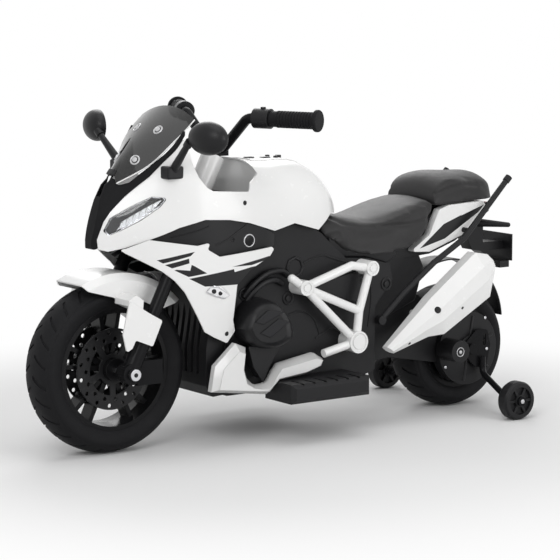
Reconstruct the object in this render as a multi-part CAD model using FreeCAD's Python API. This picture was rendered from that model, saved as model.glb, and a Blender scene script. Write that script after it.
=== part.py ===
"""A child's electric motorbike, built as an assembly of separate pieces.

Millimetres. +X is forward, +Y is the rider's left, +Z is up. The origin is on the ground,
half way between the front of the front tyre and the back of the number plate.
"""
import FreeCAD
import Part
import math
import os

Vector = FreeCAD.Vector

# Walls, gaps and fits
WALL = 3.0
SEAM = 0.5
RUN_FIT = 0.05
SIDE_PLAY = 1.0
PANEL_ROUND = 4.0

# Wheels and stance
FRONT_AXLE_X = 405.5
WHEELBASE = 832.5
FRONT_TYRE_R = 162.0
FRONT_TYRE_W = 86.0
FRONT_BEAD_R = 117.0
REAR_TYRE_R = 127.0
REAR_TYRE_W = 92.0
REAR_BEAD_R = 86.0
RIM_DEPTH = 9.0
TYRE_WALL = 10.0
AXLE_R = 6.0
HUB_R = 22.0
SPOKE_PAIRS = 5
SPOKE_W = 10.0
SPOKE_SPREAD = 11.0
SPOKE_DEPTH = 34.0
DISC_R = 78.0
DISC_BORE_R = 50.0
DISC_T = 3.0
DISC_HOLES = 15
DISC_HOLE_R = 4.0
TRAINING_R = 39.0
TRAINING_W = 28.0
BRACKET_T = 3.0
ARM_R = 6.5
TRAINING_Y = 216.0
TRAINING_SPOKES = 6

# Steering: a point on the steering axis, its rake, and what turns with it
HEAD_X = 169.4
HEAD_Z = 529.0
RAKE = 27.0
STEM_R = 14.0
HEAD_TUBE_WALL = 7.0
HEAD_TUBE_LOW = -163.0
HEAD_TUBE_TOP = -78.0
YOKE_TOP = -166.0
YOKE_T = 18.0
FORK_TUBE_R = 13.0
SLIDER_R = 17.0
FORK_Y = 84.0
FORK_TUBE_ABOVE_YOKE = 16.0
SLIDER_TOP = 112.0
STEM_TOP = 44.0
BAR_R = 10.0
BAR_SEAT = 42.0
BAR_CLAMP_Y = 24.0
BAR_BEND = (150.0, 106.0, 630.0)
BAR_END = (82.0, 240.0, 629.0)
GRIP_R = 15.0
GRIP_LENGTH = 100.0
GRIP_RIBS = 12
BAR_END_R = 21.0
HOUSING_LENGTH = 34.0
HOUSING_R = 19.0
STEM_COVER_R = 23.0
STEM_COVER_LOW = -58.0
STEM_COVER_TOP = BAR_SEAT - 17.0
FENDER_GAP = 20.0
FENDER_HALF_W = 56.0
FENDER_FRONT_ANGLE = 65.0
FENDER_REAR_ANGLE = 146.0

# Upper body: distance forward, half width, and height of the centre line where the top is closed
BELT_Z = 430.0
BODY_LOW_Z = 372.0
TANK_SQUARENESS = 2.6
OPEN_STATIONS = (
    (448, 6), (433, 17), (418, 28), (393, 48), (363, 72), (333, 93), (303, 107), (263, 119), (213, 126),
)
TANK_STATIONS = (
    (153, 126, 565), (103, 120, 543), (33, 113, 541), (-22, 106.5, 531), (-51, 97, 511),
    (-71, 83, 487), (-86, 62, 462), (-92, 38, 447),
)
TANK_FRONT_X = 117.0
NOSE_RAKE = 54.0
NOSE_RAKE_FROM_Z = 405.0
NOSE_RAKE_RISE = 120.0
LOWER_PROUD = 5.0
LOWER_TUCK = 0.16
LOWER_LEVELS = (185, 225, 265, 305, 345, 385, 420, 455)
SIDE_PANEL_RECESS = 11.0
STAY_R = 5.0
FAIRING_POSTS_X = 210.0
FAIRING_POSTS_Z = (250.0, 320.0)
POST_R = 6.0

# Panel outlines, seen from the left: distance forward and height
FAIRING_OUTLINE = (
    (430, 391), (415, 386), (390, 393), (353, 409), (305, 431), (257, 444), (205, 441), (159, 432),
    (95, 412), (45, 423), (-18, 405), (-56, 435), (-140, 424), (-140, 600), (120, 600), (118, 521),
    (150, 507), (157, 491), (239, 497), (251, 504), (266, 523), (277, 551), (284, 601), (299, 579),
    (343, 525), (382, 488), (408, 460), (420, 442), (427, 423), (432, 408),
)
NOSE_OUTLINE = (
    (441, 389), (430.5, 391), (432.5, 408), (427.5, 423), (420.5, 442), (408.5, 460), (382.5, 488.5),
    (343.5, 525.5), (299.5, 579.5), (284.5, 602), (283, 614), (303, 586), (318, 568), (340, 543), (370, 514),
    (389, 507), (387, 525), (407, 509), (421, 482), (432, 444), (441, 407),
)
OPEN_TOP_Z = max(z for _, z in NOSE_OUTLINE) + 26.0
OPEN_TOP_CENTRE = OPEN_TOP_Z + 120.0
HEADLIGHT_OUTLINE = (
    (422, 425), (410, 449), (369, 475), (345, 489), (322, 487), (336, 469), (367, 444), (397, 425),
    (414, 416),
)
LOWER_OUTLINE = (
    (400, 390), (391, 383), (336, 349), (315, 331), (296, 308), (252, 229), (229, 216), (201, 203),
    (186, 226), (193, 248), (190, 316), (161, 343), (112, 366), (102, 378), (108, 383), (230, 373),
    (255, 388), (250, 401), (274, 396), (356, 409), (390, 392.5),
)
INDICATOR_OUTLINE = ((258, 309), (240, 319), (222, 313), (203, 297), (221, 291))
SIDE_OUTLINE = (
    (362, 409), (274, 388), (258, 380), (232, 364), (108, 374), (92, 384), (90, 404), (159, 440),
    (205, 449), (257, 452), (306, 438),
)
ENGINE_OUTLINE = (
    (182, 232), (168, 264), (147, 280), (117, 283), (87, 269), (66, 244), (59, 204), (94, 186),
    (141, 190), (167, 206),
)
BELLY_OUTLINE = (
    (237, 165), (189, 203), (166, 193), (168, 143), (150, 125), (131, 127), (96, 162), (0, 168), (-17, 153),
    (0, 131), (36, 123), (103, 124), (119, 97), (247, 113),
)
CHASSIS_OUTLINE = (
    (194, 97), (194, 402), (112, 402), (88, 416), (45, 427), (-10, 410), (-34, 396), (-60, 372),
    (-95, 342), (-150, 338), (-205, 322), (-212, 290),
    (-168, 240), (-168, 112), (-120, 97),
)
TAIL_OUTLINE = (
    (-206, 323), (-330, 330), (-398, 352), (-488, 408), (-488, 426), (-352, 426), (-300, 380), (-268, 350),
    (-206, 344),
)
TAIL_COVER_OUTLINE = (
    (-341, 421), (-367, 429), (-458, 432), (-466, 417), (-400, 365), (-316, 337), (-267, 340), (-316, 371),
)
RADIATOR_OUTLINE = ((195, 100), (222, 98), (237, 120), (236, 190), (226, 250), (214, 330), (195, 340))
FENDER_EDGE = (
    (560, 200), (560, 345), (492, 337), (474, 318), (420, 303), (370, 275), (330, 268), (270, 285),
    (215, 290), (215, 200),
)
FORK_GUARD_OUTLINE = (
    (415, 302), (418, 292), (431, 240), (423, 206), (411, 212), (403, 227), (366, 212), (344, 259),
    (372, 275),
)
FENDER_BRIDGE = ((416, 303), (417, 292), (386, 278), (384, 300), (400, 312))
HANGER_OUTLINE = (
    (-470, 396), (-466, 352), (-482, 322), (-506, 318), (-531, 300), (-536, 306), (-512, 332), (-512, 372),
    (-492, 408),
)

# Mudguard over the rear tyre: its centre from the axle, and its size
MUDGUARD_OFFSET = (14.0, 0.0, 41.0)
MUDGUARD_R = 142.0
MUDGUARD_HALF_W = 30.0

# Half widths of what sits on the centre line or at the sides
CHASSIS_HALF_W = 92.0
CHASSIS_DECK_Z = 402.0
RADIATOR_HALF_W = 90.0
TAIL_HALF_W = 62.0
TAIL_COVER_Y = 80.0
BELLY_Y = 134.0
BELLY_DEPTH = 20.0
ENGINE_TOP_Y = 158.0
HANGER_HALF_W = 16.0
PLATE_HALF_W = 46.0
PLATE_T = 3.0

# Trellis frame, in the plane of its tubes
TRELLIS_Y = 122.0
TRELLIS_R = 8.5
TRELLIS_FRONT = (29, 297)
TRELLIS_REAR = (-132, 323)
TRELLIS_LOW = (-98, 179)
TRELLIS_MID = (-105, 240)
TRELLIS_STUB = (58, 317)
TRELLIS_TAIL = (-18, 163)
TRELLIS_CREST = (-86, 331)
BOSS_R = 15.0
LOW_BOSS_R = 22.0

# Footrests and accelerator pedal
FOOTREST_BACK_X = -88.0
FOOTREST_FRONT_X = 100.0
FOOTREST_TOP_Z = 121.0
FOOTREST_T = 38.0
FOOTREST_WALL = 5.0
FOOTREST_OUT_Y = 186.0
FOOTREST_RIBS = 6
PEDAL_LENGTH = 104.0
PEDAL_W = 40.0
PEDAL_T = 7.0
PEDAL_Y = 158.0
PEDAL_PIVOT_X = -44.0
PEDAL_PIVOT_Z = 116.0
PEDAL_TILT = 9.0
PEDAL_PIN_R = 3.0
PEDAL_WELL = 14.0

# Seat and pillion pad: distance forward, bottom, edge, crown heights, half widths at bottom and edge
SEAT_STATIONS = (
    (-40, 396, 420, 432, 86, 78), (-76, 372, 416, 427, 92, 84), (-112, 354, 410, 420, 94, 87),
    (-165, 344, 402, 412, 96, 90),
    (-215, 345, 410, 420, 96, 92), (-270, 354, 424, 434, 90, 90), (-328, 427.5, 438, 446, 81, 81),
)
PAD_STATIONS = (
    (-329, 430, 446, 454, 83, 79), (-339, 430, 464, 476, 82, 78), (-352, 430, 474, 487, 82, 78),
    (-420, 432.5, 474, 490, 80, 74),
    (-478, 433, 470, 487, 72, 64), (-496, 434, 456, 470, 60, 54),
)

# Grab rail, silencer, plate and tail light
RAIL_R = 6.0
RAIL_Y = CHASSIS_HALF_W + RAIL_R + 1.5
RAIL_ROUTE = ((-507, 478), (-391, 361), (-312, 317), (-235, 262), (-176, 212))
MUFFLER_IN_Y = 88.0
MUFFLER_OUT_Y = 142.0
MUFFLER_SECTIONS = (
    ((-176, 160), (-192, 146), 0.55), ((-236, 210), (-278, 172), 0.85), ((-282, 250), (-318, 174), 1.0),
    ((-398, 334), (-438, 240), 1.0), ((-432, 328), (-452, 288), 0.8),
)
MUFFLER_FACETS = (
    (0.0, 0.45), (0.0, -0.45), (0.25, -1.0), (0.75, -1.0), (1.0, -0.45), (1.0, 0.45), (0.6, 1.0), (0.3, 1.0),
)
TAIL_LIGHT_Z = 412.0
BLADE_LENGTH = 48.0
BLADE_Y = 40.0

# Rear drive: gears in two layers beside the wheel
MODULE = 1.25
WHEEL_TEETH = 48
IDLER_SMALL_TEETH = 14
IDLER_LARGE_TEETH = 40
PINION_TEETH = 12
GEAR_T = 6.0
GEAR_BACKLASH = 0.25
IDLER_ANGLE = 37.0
PINION_ANGLE = -36.6
CASE_R = 76.0
CASE_WALL = 4.0
PIN_R = 3.0
MOTOR_R = 18.0
MOTOR_LENGTH = 42.0
SWING_ARM_T = 10.0
SPRAY_GUARD_OUTLINE = (
    (-213, 244), (-262, 271), (-322, 235), (-306, 214), (-290, 170), (-225, 170), (-231, 232),
)

# Windscreen: rows of centre point and edge point from its foot to its top
SCREEN_ROWS = (
    ((387, 0, 529), (389, 20, 511)), ((352, 0, 569), (341, 58, 545)),
    ((306, 0, 613), (303, 84, 588)), ((258, 0, 650), (259, 90, 629)),
)
SCREEN_T = 2.5

# Mirrors
MIRROR_FOOT = (311, 92, 536)
MIRROR_NECK = (318, 152, 588)
MIRROR_HEAD = (300, 196, 604)
MIRROR_HALF_LENGTH = 44.0
MIRROR_HALF_HEIGHT = 31.0
MIRROR_DEPTH = 26.0
MIRROR_SWEEP = 15.0
STALK_R = 7.0
MIRROR_PIN_R = 4.0
MIRROR_PIN_LENGTH = 14.0

# Control panel on the tank and its switches
PANEL_BACK_X = -18.0
PANEL_FRONT_X = 92.0
PANEL_HALF_W = 33.0
PANEL_LOW_Z = 524.0
PANEL_PROUD = 1.5
ROCKER_LENGTH = 18.0
ROCKER_W = 13.0
ROCKER_PIN_R = 1.5
POWER_ROCKER = (74.0, 0.0)
DIRECTION_ROCKER = (44.0, 12.0)
BUTTON_R = 6.0
BUTTON_TRAVEL = 1.5
BUTTON_PLACE = (6.0, 0.0)
HORN_R = 5.0

# Inside the chassis
BATTERY_SIZE = (150.0, 74.0, 95.0)
BATTERY_X = 15.0
MODULE_SIZE = (70.0, 22.0, 50.0)
MODULE_PLACE = (-70.0, 250.0)
SOCKET_PLACE = (-170.0, 285.0)
SOCKET_R = 4.0
SOCKET_PROUD = 3.0

# Screws
SCREW_HEAD_R = 4.5
SCREW_HEAD_T = 2.0
SCREW_R = 2.0
SCREW_LENGTH = 10.0
FAIRING_SCREW = (170, 471)
LOWER_SCREW = (204, 222)
SIDE_SCREW = (196, 402)

FRONT_AXLE = Vector(FRONT_AXLE_X, 0, FRONT_TYRE_R)
REAR_AXLE = Vector(FRONT_AXLE_X - WHEELBASE, 0, REAR_TYRE_R)
REAR_END_X = -(FRONT_AXLE_X + FRONT_TYRE_R)
STEER_UP = Vector(-math.sin(math.radians(RAKE)), 0, math.cos(math.radians(RAKE)))
STEER_FORWARD = Vector(math.cos(math.radians(RAKE)), 0, math.sin(math.radians(RAKE)))
HEAD = Vector(HEAD_X, 0, HEAD_Z)
FORK_OFFSET = (FRONT_AXLE - HEAD).dot(STEER_FORWARD)
AXLE_DROP = (FRONT_AXLE - HEAD).dot(STEER_UP)
LEFT = Vector(0, 1, 0)
UP = Vector(0, 0, 1)
FAR = 400.0


def joined(shapes):
    """One solid from pieces that overlap or touch."""
    return shapes[0].multiFuse(list(shapes[1:])).removeSplitter()


def mirrored(shape):
    """The same piece on the other side of the bike."""
    return shape.mirror(Vector(0, 0, 0), LEFT)


def pair(shape):
    """A left piece and its right-hand twin."""
    return Part.Compound([shape, mirrored(shape)])


def corner_arc(before, corner, after, radius):
    """Start, middle and end of the tangent arc that rounds a corner."""
    back = before - corner
    on = after - corner
    half = back.getAngle(on) / 2
    reach = min(radius / math.tan(half), 0.45 * min(back.Length, on.Length))
    back.normalize()
    on.normalize()
    inward = (back + on).normalize()
    arc_radius = reach * math.tan(half)
    middle = corner + inward * (arc_radius / math.sin(half) - arc_radius)
    return corner + back * reach, middle, corner + on * reach


def rounded_outline(points, radius, y):
    """Closed wire in the plane y: straight runs joined by tangent arcs."""
    corners = [Vector(x, y, z) for x, z in points]
    arcs = []
    for i, corner in enumerate(corners):
        arcs.append(corner_arc(corners[i - 1], corner, corners[(i + 1) % len(corners)], radius))
    edges = []
    for i, (start, middle, end) in enumerate(arcs):
        edges.append(Part.Arc(start, middle, end).toShape())
        edges.append(Part.LineSegment(end, arcs[(i + 1) % len(arcs)][0]).toShape())
    return Part.Wire(edges)


def slab(points, radius, y0, y1):
    """Solid with a rounded side outline, from y0 to y1."""
    return Part.Face(rounded_outline(points, radius, y0)).extrude(Vector(0, y1 - y0, 0))


def block(x0, x1, y0, y1, z0, z1):
    """Box between two corners."""
    return Part.makeBox(x1 - x0, y1 - y0, z1 - z0, Vector(x0, y0, z0))


def rod(start, end, radius):
    """Round bar between two points."""
    return Part.makeCylinder(radius, (end - start).Length, start, end - start)


def cross_rod(centre, y0, y1, radius):
    """Round bar across the bike, about a point's x and z."""
    return Part.makeCylinder(radius, y1 - y0, Vector(centre.x, y0, centre.z), LEFT)


def bent_rod(points, radius, bend):
    """Round bar along straight runs joined by tangent arcs."""
    edges = []
    start = points[0]
    for before, corner, after in zip(points, points[1:], points[2:]):
        arc_start, middle, arc_end = corner_arc(before, corner, after, bend)
        edges.append(Part.LineSegment(start, arc_start).toShape())
        edges.append(Part.Arc(arc_start, middle, arc_end).toShape())
        start = arc_end
    edges.append(Part.LineSegment(start, points[-1]).toShape())
    ring = Part.Wire(Part.makeCircle(radius, points[0], points[1] - points[0]))
    return Part.Wire(edges).makePipeShell([ring], True, False)


def turned(profile, centre):
    """Solid turned about a line across the bike, from radius and y pairs."""
    points = [Vector(centre.x, y, centre.z + r) for r, y in profile]
    face = Part.Face(Part.makePolygon(points + points[:1]))
    return face.revolve(Vector(centre.x, 0, centre.z), LEFT, 360)


def at_angle(centre, radius, degrees, y=0.0):
    """Point round a centre, from straight ahead towards straight up."""
    angle = math.radians(degrees)
    return Vector(centre.x + radius * math.cos(angle), y, centre.z + radius * math.sin(angle))


def on_steering(along, forward=0.0, y=0.0):
    """Point beside the steering axis: up it from the head, ahead of it, and across."""
    return HEAD + STEER_UP * along + STEER_FORWARD * forward + Vector(0, y, 0)


def between(table, x):
    """Straight-line reading of a table of x and value, held at its ends."""
    rows = sorted(table)
    if x <= rows[0][0]:
        return rows[0][1]
    for low, high in zip(rows, rows[1:]):
        if x <= high[0]:
            return low[1] + (high[1] - low[1]) * (x - low[0]) / (high[0] - low[0])
    return rows[-1][1]


WIDTHS = OPEN_STATIONS + tuple(station[:2] for station in TANK_STATIONS)


def raked_width(x, z):
    """Half width of the body, drawn back over the nose as it rises."""
    nose = min(1.0, max(0.0, (x - 290.0) / 100.0))
    rise = max(0.0, z - NOSE_RAKE_FROM_Z) / NOSE_RAKE_RISE
    return max(3.0, between(WIDTHS, x + NOSE_RAKE * nose * rise * rise))


def upper_y(x, z):
    """Half width of the open front of the upper body at a place."""
    width = raked_width(x, z)
    if z < BELT_Z:
        return width * (1 - 0.1 * ((BELT_Z - z) / (BELT_Z - BODY_LOW_Z)) ** 2)
    return width * math.sqrt(1 - ((z - BELT_Z) / (OPEN_TOP_CENTRE - BELT_Z)) ** 2)


def lower_y(x, z):
    """Half width of the lower fairing at a place."""
    width = raked_width(x, z) + LOWER_PROUD
    drop = max(0.0, 400.0 - z) / 190.0
    return width * (1 - LOWER_TUCK * drop * drop)


def half_section(x, side):
    """Closed section of the left half: a curved side, flat top, centre and bottom."""
    curve = Part.BSplineCurve()
    points = [Vector(x, y, z) for y, z in side]
    curve.interpolate(points)
    top = Vector(x, 0, points[-1].z)
    bottom = Vector(x, 0, points[0].z)
    lines = [(points[-1], top), (top, bottom), (bottom, points[0])]
    return Part.Wire([curve.toShape()] + [Part.LineSegment(a, b).toShape() for a, b in lines])


def open_side(x, inset):
    """Side curve of the upper body ahead of the tank."""
    below = [BODY_LOW_Z - max(inset, 0), 402.0, BELT_Z]
    steps = 8
    above = [BELT_Z + (OPEN_TOP_Z - BELT_Z) * i / steps for i in range(1, steps + 1)]
    return [(max(0.8, upper_y(x, z) - inset), z) for z in below + above]


def tank_side(width, top, inset):
    """Side curve of the tank, closing over the top."""
    below = [BODY_LOW_Z - max(inset, 0), 402.0]
    side = [(width * (1 - 0.1 * ((BELT_Z - z) / (BELT_Z - BODY_LOW_Z)) ** 2) - inset, z) for z in below]
    steps = 8
    for i in range(steps + 1):
        angle = math.radians(87.5) * i / steps
        out = math.cos(angle) ** (2 / TANK_SQUARENESS)
        rise = math.sin(angle) ** (2 / TANK_SQUARENESS)
        side.append(((width - inset) * out, BELT_Z + max(SIDE_PLAY, top - inset - BELT_Z) * rise))
    return side


def upper_half(inset):
    """Left half of the upper body as a closed solid, smaller by inset all round."""
    stations = OPEN_STATIONS if inset <= 0 else OPEN_STATIONS[2:]
    sections = [half_section(x, open_side(x, inset)) for x, _ in stations]
    sections += [half_section(x, tank_side(width, top, inset)) for x, width, top in TANK_STATIONS]
    if inset > 0:
        x, width, top = TANK_STATIONS[-1]
        sections[-1] = half_section(x - inset, tank_side(width, top, inset))
    return Part.makeLoft(sections, True, False)


def lower_half(inset):
    """Left half of the lower fairing's body as a closed solid, smaller by inset."""
    stations = OPEN_STATIONS if inset <= 0 else OPEN_STATIONS[2:]
    tank_places = [x for x, _, _ in TANK_STATIONS[:3]]
    places = [x for x, _ in stations] + tank_places[:2] + [tank_places[2] - max(inset, 0)]
    lift = (-inset if inset > 0 else 0, inset if inset > 0 else 0)
    levels = (LOWER_LEVELS[0] + lift[0],) + LOWER_LEVELS[1:-1] + (LOWER_LEVELS[-1] + lift[1],)
    sections = [half_section(x, [(max(0.8, lower_y(x, z) - inset), z) for z in levels]) for x in places]
    return Part.makeLoft(sections, True, False)


UPPER = {inset: upper_half(inset) for inset in (0.0, WALL / 2, WALL, WALL + SEAM)}
LOWER_OUT = lower_half(0.0)
LOWER_IN = lower_half(WALL)


def prism(points, radius, y0=-1.0):
    """Cutter with a side outline, over the left half of the bike."""
    return slab(points, radius, y0, FAR)


def grown(points, amount):
    """Outline moved outwards about its middle."""
    mid_x = sum(x for x, _ in points) / len(points)
    mid_z = sum(z for _, z in points) / len(points)
    moved = []
    for x, z in points:
        away = math.hypot(x - mid_x, z - mid_z)
        moved.append((x + (x - mid_x) * amount / away, z + (z - mid_z) * amount / away))
    return moved


def panel_cutter():
    """Space for the control panel in the tank's top."""
    side = PANEL_HALF_W + SEAM
    return block(PANEL_BACK_X - SEAM, PANEL_FRONT_X + SEAM, -side, side, PANEL_LOW_Z - WALL, OPEN_TOP_Z)


def screw_hole(place, y):
    """Countersunk hole for a screw that goes in from the left."""
    x, z = place
    shank = rod(Vector(x, y - SCREW_LENGTH, z), Vector(x, y + WALL, z), SCREW_R)
    head = rod(Vector(x, y - SCREW_HEAD_T, z), Vector(x, y + WALL, z), SCREW_HEAD_R)
    return joined([shank, head])


def screw(place, y):
    """Pan-head screw seated in its hole."""
    x, z = place
    shank = rod(Vector(x, y - SCREW_LENGTH, z), Vector(x, y - SCREW_HEAD_T, z), SCREW_R)
    head = rod(Vector(x, y - SCREW_HEAD_T, z), Vector(x, y - 0.3, z), SCREW_HEAD_R)
    slot = block(x - SCREW_HEAD_R, x + SCREW_HEAD_R, y - 1.0, y + WALL, z - 0.5, z + 0.5)
    return joined([shank, head]).cut(slot)


def fairing():
    """Left half of the white upper fairing and tank."""
    shell = UPPER[0.0].common(prism(FAIRING_OUTLINE, PANEL_ROUND)).cut(UPPER[WALL])
    shell = shell.cut(prism(grown(HEADLIGHT_OUTLINE, SEAM), PANEL_ROUND)).cut(panel_cutter())
    tray_top = on_steering(HEAD_TUBE_TOP).z + STEM_R + WALL
    wall = block(TANK_FRONT_X - WALL, TANK_FRONT_X, 0, FAR, tray_top + SEAM, OPEN_TOP_Z)
    wall = wall.common(UPPER[WALL / 2])
    shell = biggest(shell).fuse(wall)
    x, z = FAIRING_SCREW
    y = upper_y(x, z)
    return biggest(shell.cut(screw_hole(FAIRING_SCREW, y)))


def biggest(shape):
    """The largest solid of a shape that cutting left in pieces."""
    return max(shape.Solids, key=lambda solid: solid.Volume)


def nose_trim():
    """Black strip up the nose and along the foot of the screen, with a slot that the screen stands in."""
    left = biggest(UPPER[0.0].common(prism(NOSE_OUTLINE, PANEL_ROUND)).cut(UPPER[WALL]))
    return joined([left, mirrored(left)]).cut(screen_sheet(SEAM))


def headlight_lens():
    """Clear lens, flush with the fairing."""
    return biggest(UPPER[0.0].common(prism(HEADLIGHT_OUTLINE, PANEL_ROUND, SIDE_PLAY)).cut(UPPER[WALL]))


def headlight_reflector():
    """Bowl behind the lens."""
    behind = UPPER[WALL + SEAM].common(prism(grown(HEADLIGHT_OUTLINE, 4.0), PANEL_ROUND, SIDE_PLAY))
    hollow = prism(grown(HEADLIGHT_OUTLINE, -1.0), PANEL_ROUND, SIDE_PLAY).cut(upper_half(4 * WALL))
    return biggest(behind.cut(upper_half(5 * WALL)).cut(hollow))


def screen_sheet(play):
    """Curved sheet bent round the nose, thickened by a play on both of its faces."""
    columns = 4
    grid = []
    for centre, edge in SCREEN_ROWS:
        row = []
        for i in range(-columns, columns + 1):
            s = i / columns
            x = centre[0] + (edge[0] - centre[0]) * s * s
            z = centre[2] + (edge[2] - centre[2]) * s * s
            row.append(Vector(x, edge[1] * s, z))
        grid.append(row)
    sheet = Part.BSplineSurface()
    sheet.interpolate(grid)
    outward = Vector(0.66, 0, 0.75)
    inner = sheet.toShape()
    inner.translate(outward * -play)
    return inner.extrude(outward * (SCREEN_T + 2 * play))


def windscreen():
    """Curved clear screen."""
    return screen_sheet(0.0)


def lamp_room():
    """Room of a headlight behind the skin, kept clear by what is inside the nose."""
    return prism(grown(HEADLIGHT_OUTLINE, 5.0), PANEL_ROUND, SIDE_PLAY).cut(upper_half(6 * WALL))


def cockpit_tray():
    """Floor of the cockpit between the fairing halves, with a stem hole and notches for the lamps."""
    x0, x1 = TANK_STATIONS[1][0], OPEN_STATIONS[3][0]
    z = on_steering(HEAD_TUBE_TOP).z + STEM_R
    floor = block(x0, x1, 0, FAR, z, z + WALL).common(UPPER[WALL + SEAM])
    floor = biggest(floor.cut(lamp_room()))
    whole = joined([floor, mirrored(floor)])
    hole = rod(on_steering(HEAD_TUBE_TOP), on_steering(0), STEM_COVER_R + SIDE_PLAY)
    return whole.cut(hole)


def steering_head():
    """Tube that the fork's stem turns in, its foot on the chassis, and the stays of the front fairing."""
    low = on_steering(HEAD_TUBE_LOW)
    top = on_steering(HEAD_TUBE_TOP)
    tube = rod(low, top, STEM_R + HEAD_TUBE_WALL)
    chassis_top = CHASSIS_DECK_Z
    chassis_front = max(x for x, _ in CHASSIS_OUTLINE)
    mid = on_steering((HEAD_TUBE_LOW + HEAD_TUBE_TOP) / 2)
    neck_outline = (
        (chassis_front - 80, chassis_top), (chassis_front, chassis_top), (mid.x + 4, mid.z - 8),
        (top.x - 6, top.z - 6), (chassis_front - 60, top.z - 8),
    )
    neck = slab(neck_outline, PANEL_ROUND, -CHASSIS_HALF_W / 3, CHASSIS_HALF_W / 3)
    stays = []
    stay_z = top.z - 2 * STAY_R
    stay_x = OPEN_STATIONS[6][0]
    for y in (-CHASSIS_HALF_W / 4, CHASSIS_HALF_W / 4):
        stays.append(rod(Vector(top.x - 10, y, stay_z), Vector(stay_x + 10, y, stay_z), STAY_R))
    reach = rod(Vector(stay_x, 0, stay_z), Vector(stay_x, FAR, stay_z), STAY_R).common(UPPER[WALL])
    stays += [reach, mirrored(reach)]
    body = joined([tube, neck] + stays)
    return body.cut(rod(on_steering(HEAD_TUBE_LOW - 5), on_steering(STEM_TOP), STEM_R + RUN_FIT))


def side_panel():
    """Dark panel between the upper and lower fairings, set back behind both."""
    front = lower_half(SIDE_PANEL_RECESS).common(prism(SIDE_OUTLINE, PANEL_ROUND, SIDE_PLAY))
    panel = biggest(front.cut(lower_half(SIDE_PANEL_RECESS + WALL)))
    x, z = SIDE_SCREW
    y = lower_y(x, z) - SIDE_PANEL_RECESS
    return panel.cut(screw_hole(SIDE_SCREW, y))


def lower_fairing():
    """White lower fairing with the opening for its indicator."""
    shell = biggest(LOWER_OUT.common(prism(LOWER_OUTLINE, PANEL_ROUND, SIDE_PLAY)).cut(LOWER_IN))
    shell = shell.cut(prism(grown(INDICATOR_OUTLINE, SEAM), PANEL_ROUND))
    for z in FAIRING_POSTS_Z:
        foot = Vector(FAIRING_POSTS_X, RADIATOR_HALF_W, z)
        tip = Vector(FAIRING_POSTS_X, lower_y(FAIRING_POSTS_X, z) - WALL / 2, z)
        shell = shell.fuse(rod(foot, tip, POST_R))
    x, z = LOWER_SCREW
    return biggest(shell.cut(screw_hole(LOWER_SCREW, lower_y(x, z))).removeSplitter())


def front_indicator():
    """Clear lens in the lower fairing."""
    return biggest(LOWER_OUT.common(prism(INDICATOR_OUTLINE, PANEL_ROUND, SIDE_PLAY)).cut(LOWER_IN))


def radiator_cover():
    """Black block behind the front wheel, with upright slots in its face."""
    body = slab(RADIATOR_OUTLINE, PANEL_ROUND, -RADIATOR_HALF_W, RADIATOR_HALF_W)
    front = max(x for x, _ in RADIATOR_OUTLINE)
    slots = []
    for i in range(7):
        y = -60 + 20 * i
        slots.append(block(front - 14, front + 20, y - 5, y + 5, 140, 300))
    back = min(x for x, _ in RADIATOR_OUTLINE)
    hollow = block(back - 1, back + 14, -RADIATOR_HALF_W + 5, RADIATOR_HALF_W - 5, 110, 325)
    return body.cut(Part.Compound(slots)).cut(hollow)


def engine_cover():
    """Faceted cylinder-head cover that stands out at the side."""
    mid_x = sum(x for x, _ in ENGINE_OUTLINE) / len(ENGINE_OUTLINE)
    mid_z = sum(z for _, z in ENGINE_OUTLINE) / len(ENGINE_OUTLINE)
    layers = ((CHASSIS_HALF_W, 1.0, 0), (CHASSIS_HALF_W + 38, 0.96, 4), (ENGINE_TOP_Y, 0.5, 16))
    wires = []
    for y, share, ahead in layers:
        points = []
        for x, z in ENGINE_OUTLINE:
            points.append(Vector(mid_x + ahead + (x - mid_x) * share, y, mid_z + (z - mid_z) * share))
        wires.append(Part.makePolygon(points + points[:1]))
    return Part.makeLoft(wires, True, True)


def belly_pan():
    """White scoop under the engine."""
    pan = slab(BELLY_OUTLINE, PANEL_ROUND, BELLY_Y - BELLY_DEPTH, BELLY_Y)
    posts = []
    for x, z in ((215.0, 140.0), (40.0, 145.0)):
        posts.append(cross_rod(Vector(x, 0, z), CHASSIS_HALF_W, BELLY_Y - BELLY_DEPTH / 2, POST_R))
    return joined([pan] + posts).cut(engine_cover())


def trellis():
    """White tube frame on the side of the chassis, with round bosses."""
    def place(point):
        return Vector(point[0], TRELLIS_Y, point[1])
    front, rear, low, mid = [place(p) for p in (TRELLIS_FRONT, TRELLIS_REAR, TRELLIS_LOW, TRELLIS_MID)]
    pieces = [
        rod(front, place(TRELLIS_CREST), TRELLIS_R), rod(place(TRELLIS_CREST), rear, TRELLIS_R),
        rod(front, mid, TRELLIS_R), rod(front, low, TRELLIS_R),
        rod(rear, mid, TRELLIS_R), rod(mid, low, TRELLIS_R),
        rod(front, place(TRELLIS_STUB), TRELLIS_R), rod(low, place(TRELLIS_TAIL), TRELLIS_R),
        Part.makeSphere(TRELLIS_R, place(TRELLIS_CREST)), Part.makeSphere(TRELLIS_R, mid),
        Part.makeSphere(TRELLIS_R, place(TRELLIS_STUB)),
    ]
    for centre, radius in ((front, BOSS_R), (rear, BOSS_R), (low, LOW_BOSS_R)):
        pieces.append(cross_rod(centre, CHASSIS_HALF_W, TRELLIS_Y + TRELLIS_R + 2, radius))
    frame = joined(pieces)
    for centre, radius in ((front, BOSS_R), (rear, BOSS_R), (low, LOW_BOSS_R)):
        top = TRELLIS_Y + TRELLIS_R + 2
        ring = cross_rod(centre, top - 2, top + 1, radius - 4)
        ring = ring.cut(cross_rod(centre, top - 2, top + 1, radius - 8))
        frame = frame.cut(ring)
    return frame.cut(belly_pan())


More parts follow.
